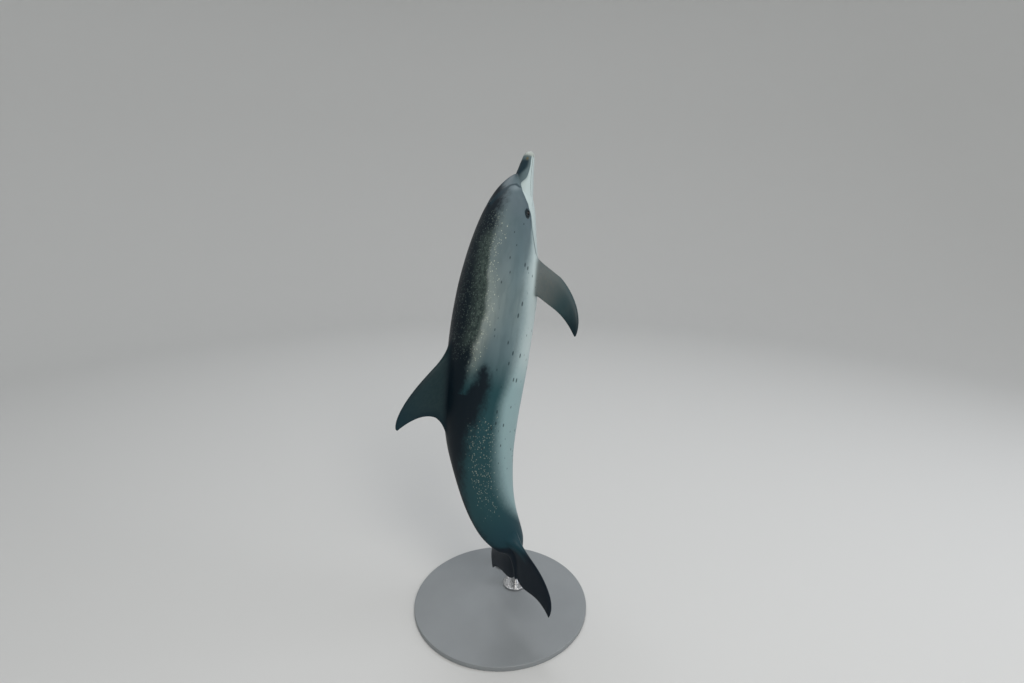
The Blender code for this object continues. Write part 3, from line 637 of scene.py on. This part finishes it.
# The white of the lips, throat and belly, whose edge is crisp on the head and soft behind it.
edge = np.where(u < 0.19, LIP_EDGE(u), BELLY_EDGE(u))
white = below(edge) / BELLY_SOFTNESS(u)
tail = rise(0.42, 0.53, u)
stock_end = rise(0.76, 0.89, u)
blaze = BLAZE_RUN(u) * fall(6, 66, -front_cape)
band = hump(below(84), 26) * within(0.19, 0.26, 0.42, 0.50)
low = rise(52, 92, girth) * rise(0.22, 0.30, u)
saddle = hump(u - 0.352, 0.055) * fall(84, 112, girth)

melon = within(0.062, 0.068, 0.125, 0.19)
brow = melon * fall(6, 40, girth)
arch, arch_runs = line_distance(MELON_ARCH)
arch = arch / (6.5 + 11.0 * rise(0.096, 0.125, u))
arch_depth = mix(0.80, 1.0, rise(0.092, 0.115, u)) * arch_runs
# A painted highlight: a lighter tone near the apex of the melon's pale lobe, where light falls on it.
lobe_apex_highlight = hump(behind(0.098), 19) * hump(below(48), 18)
bridle = rise(-26, -2, below(edge)) * within(0.085, 0.10, 0.14, 0.19)
eye_at, eye_round, eye_long, eye_tall = EYE_PATCH
eye_along, eye_up = behind(eye_at), below(eye_round)
eye_patch = np.hypot(eye_along / eye_long, (eye_up - 0.12 * eye_along) / eye_tall)
stripe, stripe_runs = line_distance(FLIPPER_STRIPE)
stripe = stripe / mix(4.2, 9.0, rise(0.17, 0.24, u))
mouth, mouth_runs = mouth_distance(u, z)

crease_at = np.interp(u, (0.060, 0.066, 0.073, 0.082), (-20, 9, 27, 44))
beak = rise(-1.5, 1.5, below(crease_at)) * fall(0.080, 0.086, u)
beak = np.where(u < 0.060, 1.0, beak) * fall(-3, 0, below(edge))
beak_side = mix(66, 26, rise(0.036, 0.066, u))
beak_dark = fall(beak_side - 14, beak_side + 14, girth) * rise(0.019, 0.029, u) * beak
beak_ochre = hump(behind(0.0215), 7.0) * hump(below(44), 9.0)
beak_tip = fall(0.011, 0.017, u)

flecks = 0.85 * fall(6, 60, -front_cape) * within(0.14, 0.19, 0.44, 0.50)
over_edge = rise(-4, 6, cape) * fall(18, 70, cape)
flecks = flecks + 0.55 * over_edge * within(0.17, 0.23, 0.42, 0.48)
on_stock = within(0.565, 0.60, 0.74, 0.84)
flecks = flecks + 0.62 * on_stock * rise(44, 54, girth) * fall(82, 98, girth)
flecks = np.clip(np.where(kind_of == NUMBERS["dorsal"], 0, flecks), 0, 1)
spots = rise(50, 62, girth) * mix(0.55, 1, rise(75, 100, girth))
spots = spots * within(0.16, 0.20, 0.70, 0.78)
fins = {k: np.where(kind_of == NUMBERS[k], rise(*foot, share), 0) for k, foot in FIN_FEET.items()}
fluke_root = rise(-0.27, -0.14, share) * rise(0.885, 0.903, u)
fluke_root = np.where(kind_of == NUMBERS["fluke"], fluke_root, 0)
fluke_root = np.maximum(fluke_root, rise(0.897, 0.909, u - (girth - 84) * 0.0004))
fins["fluke"] = np.maximum(fins["fluke"], fluke_root)

# Where the skin folds back on itself, in the crease before the melon, the marks are eased over it.
CREASE_PASSES = 26
edge_ends = np.zeros(len(flesh.edges) * 2, "i")
flesh.edges.foreach_get("vertices", edge_ends)
starts, ends = edge_ends[::2], edge_ends[1::2]
meeting = np.bincount(edge_ends, minlength=len(u))
easing = within(0.056, 0.062, 0.112, 0.124) / 2


def eased(values):
    for _ in range(CREASE_PASSES):
        around = np.bincount(starts, values[ends], len(u)) + np.bincount(ends, values[starts], len(u))
        values = mix(values, around / meeting, easing)
    return values


white, melon, brow, bridle, beak, beak_dark = (
    eased(values) for values in (white, melon, brow, bridle, beak, beak_dark)
)

# Each layer holds up to three measures of the skin at every vertex, for its material to read.
MARKS = {
    "tone": {"low": low, "tail": tail, "blaze": blaze},
    "edges": {"cape_soft": cape_soft, "white": white},
    "depths": {"cape_depth": cape_depth, "band": band, "stock_end": stock_end},
    "lobe": {"lobe_apex_highlight": lobe_apex_highlight, "brow": brow, "saddle": saddle},
    "lines": {"arch_depth": arch_depth, "stripe_runs": stripe_runs, "mouth_runs": mouth_runs},
    "head": {"melon": melon, "arch": arch, "bridle": bridle},
    "face": {"eye_patch": eye_patch, "stripe": stripe, "mouth": mouth},
    "bill": {"beak": beak, "beak_dark": beak_dark, "beak_ochre": beak_ochre},
    "marks": {"flecks": flecks, "spots": spots, "beak_tip": beak_tip},
    "fins": fins,
    "foil": {"share": np.maximum(share, 0), "chord": chord},
}
for name, parts in {"rest": {"x": x * LENGTH, "y": u * LENGTH, "z": z * LENGTH}, **MARKS}.items():
    layer = flesh.attributes.new(name, "FLOAT_VECTOR", "POINT")
    blank = [np.zeros(len(u))] * (3 - len(parts))
    layer.data.foreach_set("vector", np.stack([*parts.values(), *blank], axis=-1).astype("f").ravel())


def linear(colour):
    """Linear RGBA of an sRGB hex colour."""
    parts = [int(colour[i : i + 2], 16) / 255 for i in (1, 3, 5)]
    return (*(c / 12.92 if c <= 0.04045 else ((c + 0.055) / 1.055) ** 2.4 for c in parts), 1.0)


def fill(tree, node, inputs):
    """Sets each of a node's inputs to a value, or links it to a socket or a node's first output."""
    for key, value in inputs.items():
        value = value.outputs[0] if isinstance(value, bpy.types.Node) else value
        if isinstance(value, bpy.types.NodeSocket):
            tree.links.new(value, node.inputs[key])
        else:
            node.inputs[key].default_value = value


def add(tree, kind, inputs=None, **settings):
    """Adds a node with its settings and inputs."""
    node = tree.nodes.new("ShaderNode" + kind)
    for name, value in settings.items():
        setattr(node, name, value)
    fill(tree, node, inputs or {})
    return node


def start_material(name):
    made = bpy.data.materials.new(name)
    made.use_nodes = True
    return made, made.node_tree, made.node_tree.nodes["Principled BSDF"]


# Dolphin skin: smooth, rubbery and hairless, sealed here under a satin varnish, so its highlights
# are broad and soft. IOR 1.45. Flecks are 2 to 6 mm across and dashes 5 to 12 mm, as on the animal,
# and both run on along the body.
FLECK_PITCH, FLECK_SIZE, FLECK_STRETCH = 0.0064, 0.0027, 0.7
DASH_PITCH, DASH_SIZE, DASH_STRETCH = 0.022, 0.0052, 0.42
DOT_SPREAD, DOT_LEAST, DOT_CORE = 0.7, 0.45, 0.62  # shares of a dot's size: its range, least and core
PORE = 0.0035  # drawn coarse so that it shows


def dolphin_skin():
    made, tree, shader = start_material("dolphin_skin")
    place = add(tree, "Attribute", attribute_name="rest").outputs["Vector"]
    mark = {}
    for name, parts in MARKS.items():
        stored = add(tree, "Attribute", attribute_name=name)
        split = add(tree, "SeparateXYZ", {0: stored.outputs["Vector"]})
        mark.update(zip(parts, split.outputs))

    # Clouds of tone, by their size in metres and how far they stretch along the body.
    clouds = {
        "broad": (0.130, 0.6, 3.0),
        "patch": (0.042, 0.6, 3.0),
        "streak": (0.020, 0.22, 3.0),
        "mottle": (0.011, 0.7, 4.0),
        "pores": (PORE, 1.0, 2.0),
    }
    for name, (size, stretch, detail) in clouds.items():
        room = add(tree, "Mapping", {"Vector": place, "Scale": (1, stretch, 1)})
        mark[name] = add(tree, "TexNoise", {"Vector": room, "Scale": 1 / size, "Detail": detail})

    # Flecks and dashes: round cells, each left out where the skin's measure is too low for it.
    for name, pitch, size, stretch, measure in (
        ("pale_dots", FLECK_PITCH, FLECK_SIZE, FLECK_STRETCH, "flecks"),
        ("dark_dots", DASH_PITCH, DASH_SIZE, DASH_STRETCH, "spots"),
    ):
        room = add(tree, "Mapping", {"Vector": place, "Scale": (1, stretch, 1)})
        cells = add(tree, "TexVoronoi", {"Vector": room, "Scale": 1 / pitch, "Randomness": 1.0})
        chance = add(tree, "SeparateXYZ", {0: cells.outputs["Color"]})
        kept = add(tree, "Math", {0: mark[measure], 1: chance}, operation="GREATER_THAN")
        inputs = {0: chance.outputs[1], 1: DOT_SPREAD, 2: DOT_LEAST}
        reach = add(tree, "Math", inputs, operation="MULTIPLY_ADD")
        limit = add(tree, "Math", {0: reach, 1: size / pitch}, operation="MULTIPLY")
        core = add(tree, "Math", {0: limit, 1: DOT_CORE}, operation="MULTIPLY")
        inputs = {"Value": cells.outputs["Distance"], "From Min": limit, "From Max": core}
        inside = add(tree, "MapRange", inputs, interpolation_type="SMOOTHSTEP")
        mark[name] = add(tree, "Math", {0: inside, 1: kept}, operation="MULTIPLY")

    # Measures whose edges a cloud makes wander: the measure, the cloud and how far.
    for name, cloud, far in (
        ("cape_soft", "patch", 1.6),
        ("cape_soft", "mottle", 1.4),
        ("white", "mottle", 0.35),
        ("eye_patch", "mottle", 0.3),
    ):
        centred = add(tree, "Math", {0: mark[cloud], 1: far, 2: -far / 2}, operation="MULTIPLY_ADD")
        mark[name] = add(tree, "Math", {0: mark[name], 1: centred}, operation="ADD")

    for name in ("arch", "stripe", "mouth"):
        mark[name] = add(tree, "Math", {0: mark[name]}, operation="ABSOLUTE")

    # Weights: a measure, where it starts and ends, and its strength at each.
    weights = {
        "pale": ("white", -1.0, 1.0, 0.0, 1.0),
        "throat_shade": ("white", 0.0, 2.2, 0.0, 1.0),
        "in_cape": ("cape_soft", -1.0, 1.0, 0.0, 1.0),
        "cape_mottle": ("mottle", 0.35, 0.70, 0.35, 1.0),
        "cape_light": ("cape_depth", 0.80, 0.0, 0.0, 1.0),
        "patches": ("broad", 0.35, 0.68, 0.0, 0.45),
        "streaks": ("streak", 0.42, 0.70, 0.0, 0.40),
        "blaze_tone": ("streak", 0.30, 0.62, 0.50, 1.00),
        "arch_line": ("arch", 1.3, 0.35, 0.0, 1.0),
        "eye_dark": ("eye_patch", 1.45, 0.95, 0.0, 1.0),
        "eye_haze": ("eye_patch", 2.6, 1.0, 0.0, 0.45),
        "stripe_line": ("stripe", 1.3, 0.0, 0.0, 0.72),
        "mouth_line": ("mouth", 1.7, 0.6, 0.0, 0.75),
        "fleck_light": ("tail", 0.0, 1.0, 1.0, 0.55),
        "fin_tip": ("share", 0.25, 0.74, 0.0, 1.0),
        "fin_mid": ("share", 0.0, 0.34, 0.0, 1.0),
        "fin_front": ("chord", 0.20, 0.04, 0.0, 1.0),
        "fin_rear": ("chord", 0.78, 0.97, 0.0, 1.0),
    }
    for name, (measure, low, high, at_low, at_high) in weights.items():
        inputs = {"Value": mark[measure], "From Min": low, "From Max": high}
        inputs.update({"To Min": at_low, "To Max": at_high})
        mark[name] = add(tree, "MapRange", inputs, interpolation_type="SMOOTHSTEP")

    # Weights that hold only together.
    for name, other in (
        ("blaze_tone", "blaze"),
        ("cape_light", "cape_mottle"),
        ("pale_dots", "fleck_light"),
        ("arch_line", "arch_depth"),
        ("stripe_line", "stripe_runs"),
        ("mouth_line", "mouth_runs"),
        ("fin_front", "fin_mid"),
    ):
        mark[name] = add(tree, "Math", {0: mark[name], 1: mark[other]}, operation="MULTIPLY")

    def paint(colour, coats):
        """Lays coats over a colour, each a tone or a painted colour at the strength of a weight."""
        for strength, weight, tone in coats:
            share = mark[weight]
            if strength < 1:
                share = add(tree, "Math", {0: share, 1: strength}, operation="MULTIPLY")
            tone = linear(tone) if isinstance(tone, str) else tone
            colour = add(tree, "Mix", {0: share, 6: colour, 7: tone}, data_type="RGBA").outputs[2]
        return colour

    cape_tone = paint(
        linear("#06161f"),
        [(1, "cape_light", "#46544f"), (0.30, "pale_dots", "#7b8a82"), (0.5, "stock_end", "#08212b")],
    )
    fin_coats = [(1, "fin_front", "#10252b"), (1, "fin_rear", "#0e262e"), (1, "fin_tip", "#0f2a33")]
    dorsal_tone = paint(linear("#142b32"), [(0.6, "cape_mottle", "#27393a"), *fin_coats])
    flipper_tone = paint(
        linear("#515d60"),
        [
            (0.5, "cape_mottle", "#646661"),
            (1, "fin_mid", "#33474b"),
            (0.35, "streaks", "#56605d"),
            (0.95, "fin_tip", "#0c2129"),
        ],
    )
    fluke_tone = paint(linear("#05131f"), [(0.5, "cape_mottle", "#091c28")])
    pale_tone = paint(linear("#a3b4b6"), [(0.6, "throat_shade", "#bccaca"), (0.8, "tail", "#7c9a9e")])
    skin_colour = paint(
        linear("#52646b"),
        [
            (1, "low", "#667a7f"),
            (1, "melon", "#58656d"),
            (1, "blaze_tone", "#9ba49d"),
            (0.6, "saddle", "#8a9795"),
            (0.45, "band", "#4d646e"),
            (1, "patches", "#5a6c70"),
            (0.8, "streaks", "#4a5c60"),
            (1, "tail", "#20444a"),
            (0.7, "stock_end", "#0f313d"),
            (0.75, "brow", "#46545b"),
            # the painted highlight near the apex of the melon's pale lobe
            (0.7, "lobe_apex_highlight", "#808e94"),
            (0.75, "bridle", "#46555c"),
            (0.6, "eye_haze", "#4a5d66"),
            (1, "pale", pale_tone),
            (0.68, "pale_dots", "#b8bfb0"),
            (1, "in_cape", cape_tone),
            (0.9, "arch_line", "#142b35"),
            (1, "stripe_line", "#35464b"),
            (1, "eye_dark", "#0a1a21"),
            (1, "beak", "#57696d"),
            (0.97, "beak_dark", "#0f2933"),
            (0.95, "beak_ochre", "#655831"),
            (0.95, "beak_tip", "#a5ada8"),
            (1, "mouth_line", "#2c3d45"),
            (0.78, "dark_dots", "#1c2f35"),
            (1, "dorsal", dorsal_tone),
            (1, "flipper", flipper_tone),
            (1, "fluke", fluke_tone),
        ],
    )

    height = add(tree, "Math", {0: mark["pores"], 1: 0.25, 2: mark["patch"]}, operation="MULTIPLY_ADD")
    bump = add(tree, "Bump", {"Height": height, "Strength": 0.30, "Distance": 0.0006})
    inputs = {"Value": mark["broad"], "From Min": 0.2, "From Max": 0.8, "To Min": 0.38, "To Max": 0.50}
    rough = add(tree, "MapRange", inputs)
    fill(tree, shader, {"Base Color": skin_colour, "Roughness": rough, "Normal": bump})
    fill(tree, shader, {"IOR": 1.45, "Specular IOR Level": 0.22})
    return made


flesh.materials.append(dolphin_skin())
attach(skin, "root")
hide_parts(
    "head", "lower_jaw", "trunk", "tail_stock", "fluke_left", "fluke_right", "dorsal_fin",
    "flipper_left", "flipper_right"
)

# ------------------------------------------------------------------------------------------------
# The eyes: cast resin balls, painted behind the clear face, set into sockets under the skin's lids.
# The iris is dark brown with a wide pupil, flattened as a dolphin's is, and the surface shines wet.

IRIS, PUPIL, IRIS_WIDER = 0.0060, 0.0036, 1.25  # radii, and their width over their height
IRIS_STREAKS = 1200.0  # to the metre, 0.8 mm each
BALL_DEPTH = 0.94  # front to back over width: a dolphin's eyeball is a little flattened
CORNEA_EDGE, CORNEA_BULGE = 0.72, 0.045  # where the clear bulge over the iris starts, and its height


def resin_eye(centre, turn):
    made, tree, shader = start_material("resin_eye")
    place = add(tree, "TexCoord").outputs["Object"]
    moved = add(tree, "VectorMath", {0: place, 1: tuple(-c for c in centre)}, operation="ADD")
    along, up = (
        add(tree, "VectorMath", {0: moved, 1: tuple(axis)}, operation="DOT_PRODUCT").outputs["Value"]
        for axis in (turn[:, 1], turn[:, 2] * IRIS_WIDER)
    )
    flat = add(tree, "CombineXYZ", {0: along, 1: up})
    away = add(tree, "VectorMath", {0: flat}, operation="LENGTH").outputs["Value"]
    streaks = add(tree, "TexNoise", {"Vector": place, "Scale": IRIS_STREAKS})
    inputs = {0: streaks, 6: linear("#0b0705"), 7: linear("#140c08")}
    colour = add(tree, "Mix", inputs, data_type="RGBA").outputs[2]
    for edge, soft, inside, outside, tone in (
        (PUPIL, 0.0004, 1.0, 0.0, "#030303"),
        (IRIS, 0.0005, 0.0, 1.0, "#060505"),
    ):
        inputs = {"Value": away, "From Min": edge - soft, "From Max": edge + soft}
        ring = add(tree, "MapRange", {**inputs, "To Min": inside, "To Max": outside})
        inputs = {0: ring, 6: colour, 7: linear(tone)}
        colour = add(tree, "Mix", inputs, data_type="RGBA").outputs[2]
    fill(tree, shader, {"Base Color": colour, "Roughness": 0.06, "IOR": 1.5, "Specular IOR Level": 0.28})
    return made


def finished(piece, name, material, replaced=None):
    """Makes a rigid piece of a bmesh, with its finish and its body, and hides the part it replaces."""
    bmesh.ops.recalc_face_normals(piece, faces=piece.faces)
    data = bpy.data.meshes.new(name)
    piece.to_mesh(data)
    piece.free()
    data.shade_smooth()
    data.set_sharp_from_angle(angle=math.radians(40))
    data.materials.append(material)
    made = placed(name, data)
    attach(made, "root")
    if replaced:
        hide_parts(replaced)


for side, word in ((1, "right"), (-1, "left")):
    _, _, top, bottom = section_sizes(EYE_STATION, 1.0)
    height = top if EYE_HEIGHT > 0 else bottom
    on_skin = surface(EYE_STATION, math.atan2(side, EYE_HEIGHT / height))
    centre = posed(np.array([on_skin - (side * EYE_DEPTH, 0, 0)]))[0]
    turn = SPINE_TURNS[round(EYE_STATION * SPINE_STEPS)]
    facing = Matrix(turn.tolist()) @ Matrix.Rotation(side * math.pi / 2, 3, "Y")
    ball = bmesh.new()
    bmesh.ops.create_uvsphere(ball, u_segments=48, v_segments=32, radius=EYE_RADIUS * LENGTH)
    for vertex in ball.verts:
        outward = vertex.co.normalized().z
        vertex.co *= BALL_DEPTH + (1 - BALL_DEPTH) * (1 - outward * outward) ** 0.5
        vertex.co += vertex.co * CORNEA_BULGE * rise(CORNEA_EDGE, 1.0, outward)
    ball.transform(Matrix.Translation(centre) @ facing.to_4x4())
    finished(ball, f"eyeball_{word}", resin_eye(centre, turn), f"eye_{word}")

# ------------------------------------------------------------------------------------------------
# The stand's base: a round plate of 24 mm steel, turned with a rounded rim, powder coated mid grey.
# Powder coat is a baked polyester skin; its faint orange peel breaks the gloss up.

RIM_ROUNDING, FOOT_ROUNDING = 0.004, 0.0015
PEEL, HAZE = 0.0022, 0.20  # pitches: the orange peel, drawn coarse so that it shows, and the haze


def powder_coat():
    made, tree, shader = start_material("powder_coat")
    place = add(tree, "TexCoord").outputs["Object"]
    peel = add(tree, "TexNoise", {"Vector": place, "Scale": 1 / PEEL, "Detail": 2.0})
    haze = add(tree, "TexNoise", {"Vector": place, "Scale": 1 / HAZE, "Detail": 4.0})
    inputs = {0: haze, 6: linear("#8d9295"), 7: linear("#7f8487")}
    colour = add(tree, "Mix", inputs, data_type="RGBA").outputs[2]
    inputs = {"Value": haze, "From Min": 0.3, "From Max": 0.7, "To Min": 0.42, "To Max": 0.52}
    rough = add(tree, "MapRange", inputs)
    bump = add(tree, "Bump", {"Height": peel, "Strength": 0.25, "Distance": 0.0002})
    fill(tree, shader, {"Base Color": colour, "Roughness": rough, "Normal": bump, "IOR": 1.5})
    return made


def rounded(radius, height, size, below, steps=6):
    """A rounded rim's points going up, as (radius, height), at the bottom of a disc or its top."""
    angles = np.linspace(-math.pi / 2, 0, steps) if below else np.linspace(0, math.pi / 2, steps)
    middle = height + size if below else height - size
    return [(radius - size + size * math.cos(a), middle + size * math.sin(a)) for a in angles]


def circle(middle, side, other, radius, around):
    """Points round a middle, from one direction towards the other."""
    turns = [2 * math.pi * k / around for k in range(around)]
    return [middle + (side * math.cos(a) + other * math.sin(a)) * radius for a in turns]


def join(piece, rings):
    """Joins each ring of vertices to the next with faces. A ring may be one vertex."""
    around = max(len(ring) for ring in rings)
    for lower, upper in zip(rings, rings[1:]):
        for k in range(around):
            n = (k + 1) % around
            ends = [(lower, k), (lower, n), (upper, n), (upper, k)]
            piece.faces.new(list(dict.fromkeys(ring[i % len(ring)] for ring, i in ends)))


def turned(profile, centre, around, piece=None):
    """Turns (radius, height) points round the upright through a centre, into a bmesh."""
    piece, rings = piece or bmesh.new(), []
    east, north, up = Matrix.Identity(3)
    for radius, height in profile:
        spots = circle(Vector(centre) + up * height, east, north, radius, around if radius else 1)
        rings.append([piece.verts.new(spot) for spot in spots])
    join(piece, rings)
    return piece


_, (base_radius, _, base_top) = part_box("stand_base")
foot_edge = rounded(base_radius, 0, FOOT_ROUNDING, True)
top_edge = rounded(base_radius, base_top, RIM_ROUNDING, False)
plate = turned([(0, 0), *foot_edge, *top_edge, (0, base_top)], (0, 0, 0), 160)
finished(plate, "base_plate", powder_coat(), "stand_base")

# ------------------------------------------------------------------------------------------------
# The foot flanges: stainless discs, each held down by four button head screws, with a fillet weld
# round the rod that stands in it. They are satin brushed after welding.

SCREWS, SCREW_CIRCLE, SCREW_RADIUS, SCREW_HEIGHT = 4, 0.046, 0.0062, 0.0034
SCREW_SUNK, SCREW_EDGE, SCREW_CROWN = 0.0005, 0.0008, 0.6  # the crown's width as a share of the head's
HEX_RADIUS, HEX_FLOOR = 0.0026, 0.35  # the floor's height as a share of the head's
FLANGE_ROUNDING, FLANGE_FOOT, WELD = 0.003, 0.0006, 0.0055
ROD_RADIUS = 0.019
BRUSH_ACROSS, BRUSH_ALONG = 0.0009, 0.03  # pitch of the scratches across and along the rods


def brushed_stainless():
    made, tree, shader = start_material("brushed_stainless")
    place = add(tree, "TexCoord").outputs["Object"]
    scale = (1 / BRUSH_ACROSS, 1 / BRUSH_ACROSS, 1 / BRUSH_ALONG)
    stretch = add(tree, "Mapping", {"Vector": place, "Scale": scale})
    grain = add(tree, "TexNoise", {"Vector": stretch, "Scale": 1.0})
    rough = add(tree, "MapRange", {"Value": grain, "To Min": 0.22, "To Max": 0.36})
    bump = add(tree, "Bump", {"Height": grain, "Strength": 0.12, "Distance": 0.0001})
    steel = {"Base Color": linear("#c9cacb"), "Metallic": 1.0, "Roughness": rough, "Normal": bump}
    fill(tree, shader, steel)
    return made


stainless = brushed_stainless()
feet = {}
for word in ("upper", "lower"):
    low, high = (Vector(c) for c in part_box(f"stand_flange_{word}"))
    foot = Vector(((low.x + high.x) / 2, (low.y + high.y) / 2, low.z))
    radius, thick = (high.x - low.x) / 2, high.z - low.z
    feet[word] = foot + Vector((0, 0, thick))
    rim = [*rounded(radius, 0, FLANGE_FOOT, True, 3), *rounded(radius, thick, FLANGE_ROUNDING, False)]
    quarter = np.linspace(0, math.pi / 2, 6)
    bead = [(ROD_RADIUS + WELD * math.cos(a), thick + WELD * math.sin(a)) for a in quarter]
    flange = turned([(0, 0), *rim, *bead, (0, thick + WELD)], foot, 72)
    aside, ahead = Vector((1, 1, 0)).normalized(), Vector((-1, 1, 0)).normalized()
    for place in circle(feet[word], aside, ahead, SCREW_CIRCLE, SCREWS):
        head = [(0, -SCREW_SUNK), (SCREW_RADIUS, -SCREW_SUNK)]
        for t in np.linspace(0, 1, 6):
            height = mix(SCREW_EDGE, SCREW_HEIGHT, math.sin(t * math.pi / 2))
            head.append((SCREW_RADIUS * mix(1, SCREW_CROWN, t**2), height))
        hex_floor = SCREW_HEIGHT * HEX_FLOOR
        socket = [(HEX_RADIUS, SCREW_HEIGHT), (HEX_RADIUS, hex_floor), (0, hex_floor)]
        turned([*head, *socket], place, 18, flange)
    finished(flange, f"flange_{word}", stainless, f"stand_flange_{word}")

# ------------------------------------------------------------------------------------------------
# The rods: 38 mm stainless bar, bent cold in one smooth sweep and brushed along. They run up behind
# the tail and on into the body's core, where they are bolted to its frame.

ROD_STATIONS = {"upper": 0.625, "lower": 0.775}
ROD_STRAIGHT, ROD_KNEE, ROD_END = 0.35, 0.60, 0.96  # shares of the way: it leans in, is steered, ends
ROD_STEPS, ROD_SIDES = 44, 40
rod_lines = {}
for word, station in ROD_STATIONS.items():
    start, target = feet[word], Vector(posed(np.array([(0.0, -station, 0.0)]))[0])
    below, lean = (
        Vector((start.x, start.y, mix(start.z, target.z, share))) for share in (ROD_STRAIGHT, ROD_KNEE)
    )
    line = [start.lerp(below, t) for t in np.linspace(0, 1, 8)[:-1]]
    for t in np.linspace(0, ROD_END, ROD_STEPS):
        line.append(below * (1 - t) ** 2 + 2 * lean * t * (1 - t) + target * t * t)
    rod_lines[word] = line
    rod, rings, side = bmesh.new(), [], Vector((1, 0, 0))
    for i, spot in enumerate(line):
        ahead = (line[min(i + 1, len(line) - 1)] - line[max(i - 1, 0)]).normalized()
        side = (side - ahead * side.dot(ahead)).normalized()
        ring = circle(spot, side, ahead.cross(side), ROD_RADIUS, ROD_SIDES)
        rings.append([rod.verts.new(p) for p in ring])
    join(rod, rings)
    rod.faces.new(rings[0][::-1])
    rod.faces.new(rings[-1])
    finished(rod, f"rod_{word}", stainless, f"stand_rod_{word}")

# ------------------------------------------------------------------------------------------------
# The collars: moulded neoprene sleeves pushed up each rod, which close the gap where it enters the
# skin. Neoprene is a black rubber, dull and faintly grained.

SLEEVE_THICK, RUBBER_GRAIN = 0.006, 0.0015
# A sleeve's section: the share of its thickness, and how far along the rod from the skin.
SLEEVE = ((0, -0.013), (0.7, -0.013), (1, -0.0104), (1.15, 0.004), (1, 0.013), (0, 0.013))


def neoprene():
    made, tree, shader = start_material("neoprene")
    place = add(tree, "TexCoord").outputs["Object"]
    grain = add(tree, "TexNoise", {"Vector": place, "Scale": 1 / RUBBER_GRAIN, "Detail": 3.0})
    inputs = {0: grain, 6: linear("#15181a"), 7: linear("#25292b")}
    colour = add(tree, "Mix", inputs, data_type="RGBA").outputs[2]
    bump = add(tree, "Bump", {"Height": grain, "Strength": 0.2, "Distance": 0.0002})
    fill(tree, shader, {"Base Color": colour, "Normal": bump, "Roughness": 0.62})
    return made


rubber = neoprene()
skin_tree = BVHTree.FromPolygons([v.co for v in flesh.vertices], [p.vertices for p in flesh.polygons])
for word, line in rod_lines.items():
    for a, b in zip(line, line[1:]):
        spot, normal, _, _ = skin_tree.ray_cast(a, (b - a).normalized(), (b - a).length)
        if spot:
            break
    ahead, slant = (b - a).normalized(), normal.normalized()
    side = ahead.orthogonal().normalized()
    sleeve, rings = bmesh.new(), []
    for share, along in SLEEVE:
        ring = []
        for out in circle(Vector(), side, ahead.cross(side), ROD_RADIUS + SLEEVE_THICK * share, ROD_SIDES):
            lift = -out.dot(slant) / ahead.dot(slant)  # each ring lies along the skin's own slope
            ring.append(sleeve.verts.new(spot + out + ahead * (lift + along)))
        rings.append(ring)
    join(sleeve, [*rings, rings[0]])
    finished(sleeve, f"sleeve_{word}", rubber)

# ------------------------------------------------------------------------------------------------
# The studio: a plain bowl of pale matt paper, flat underfoot and curved up all round so that no
# corner shows. Three broad round lamps and a pale surround light it softly from all sides.

FLOOR_RADIUS, BOWL_CURVE, BOWL_TOP = 6.5, 3.5, 9.0
profile = [(0.0, 0.0), (FLOOR_RADIUS / 2, 0.0), (FLOOR_RADIUS, 0.0)]
for a in np.linspace(0, math.pi / 2, 25)[1:]:
    profile.append((FLOOR_RADIUS + BOWL_CURVE * math.sin(a), BOWL_CURVE * (1 - math.cos(a))))
paper, paper_tree, paper_shader = start_material("studio_paper")
fill(paper_tree, paper_shader, {"Base Color": linear("#cfd0cf"), "Roughness": 0.9})
bowl_piece = turned([*profile, (FLOOR_RADIUS + BOWL_CURVE, BOWL_TOP)], (0, 0, 0), 96)
bowl_mesh = bpy.data.meshes.new("bowl")
bowl_piece.to_mesh(bowl_mesh)
bowl_piece.free()
bowl_mesh.shade_smooth()
bowl_mesh.materials.append(paper)
bowl = placed("bowl", bowl_mesh)

LIGHTS = (
    ("key", (2.0, -5.4, 6.0), (0.0, 0.0, 1.0), 3.4, 250.0, "#fffaf4"),
    ("side", (5.6, -0.6, 3.6), (0.0, 0.0, 1.0), 3.6, 90.0, "#f6f8ff"),
    ("top", (-0.5, 2.6, 8.0), (0.0, 1.4, 0.6), 4.0, 190.0, "#fafbff"),
)
for name, place, aim, size, power, colour in LIGHTS:
    lamp = bpy.data.lights.new(name, "AREA")
    lamp.shape = "DISK"
    lamp.size = size
    lamp.energy = power
    lamp.color = linear(colour)[:3]
    made = placed(name, lamp)
    made.location = place
    made.rotation_euler = (Vector(place) - Vector(aim)).to_track_quat("Z", "Y").to_euler()
world = bpy.data.worlds.new("studio")
world.use_nodes = True
background = world.node_tree.nodes["Background"]
fill(world.node_tree, background, {"Color": linear("#e9ebec"), "Strength": 0.5})
bpy.context.scene.world = world
bpy.context.scene.view_settings.view_transform = "Standard"

# ------------------------------------------------------------------------------------------------
# The camera stands level with the head, 2.5 m from the body, and looks a little down on the right
# flank. Its lens is a wide 20 mm on a 36 mm frame.

CAMERA_PLACE, CAMERA_DOWN, CAMERA_LENS = (0.060, -2.5006, 2.0706), 15.0, 20.0
lens = bpy.data.cameras.new("camera")
lens.lens = CAMERA_LENS
lens.sensor_width = 36.0
camera = placed("camera", lens)
camera.location = CAMERA_PLACE
camera.rotation_euler = (math.radians(90 - CAMERA_DOWN), 0, 0)
bpy.context.scene.camera = camera
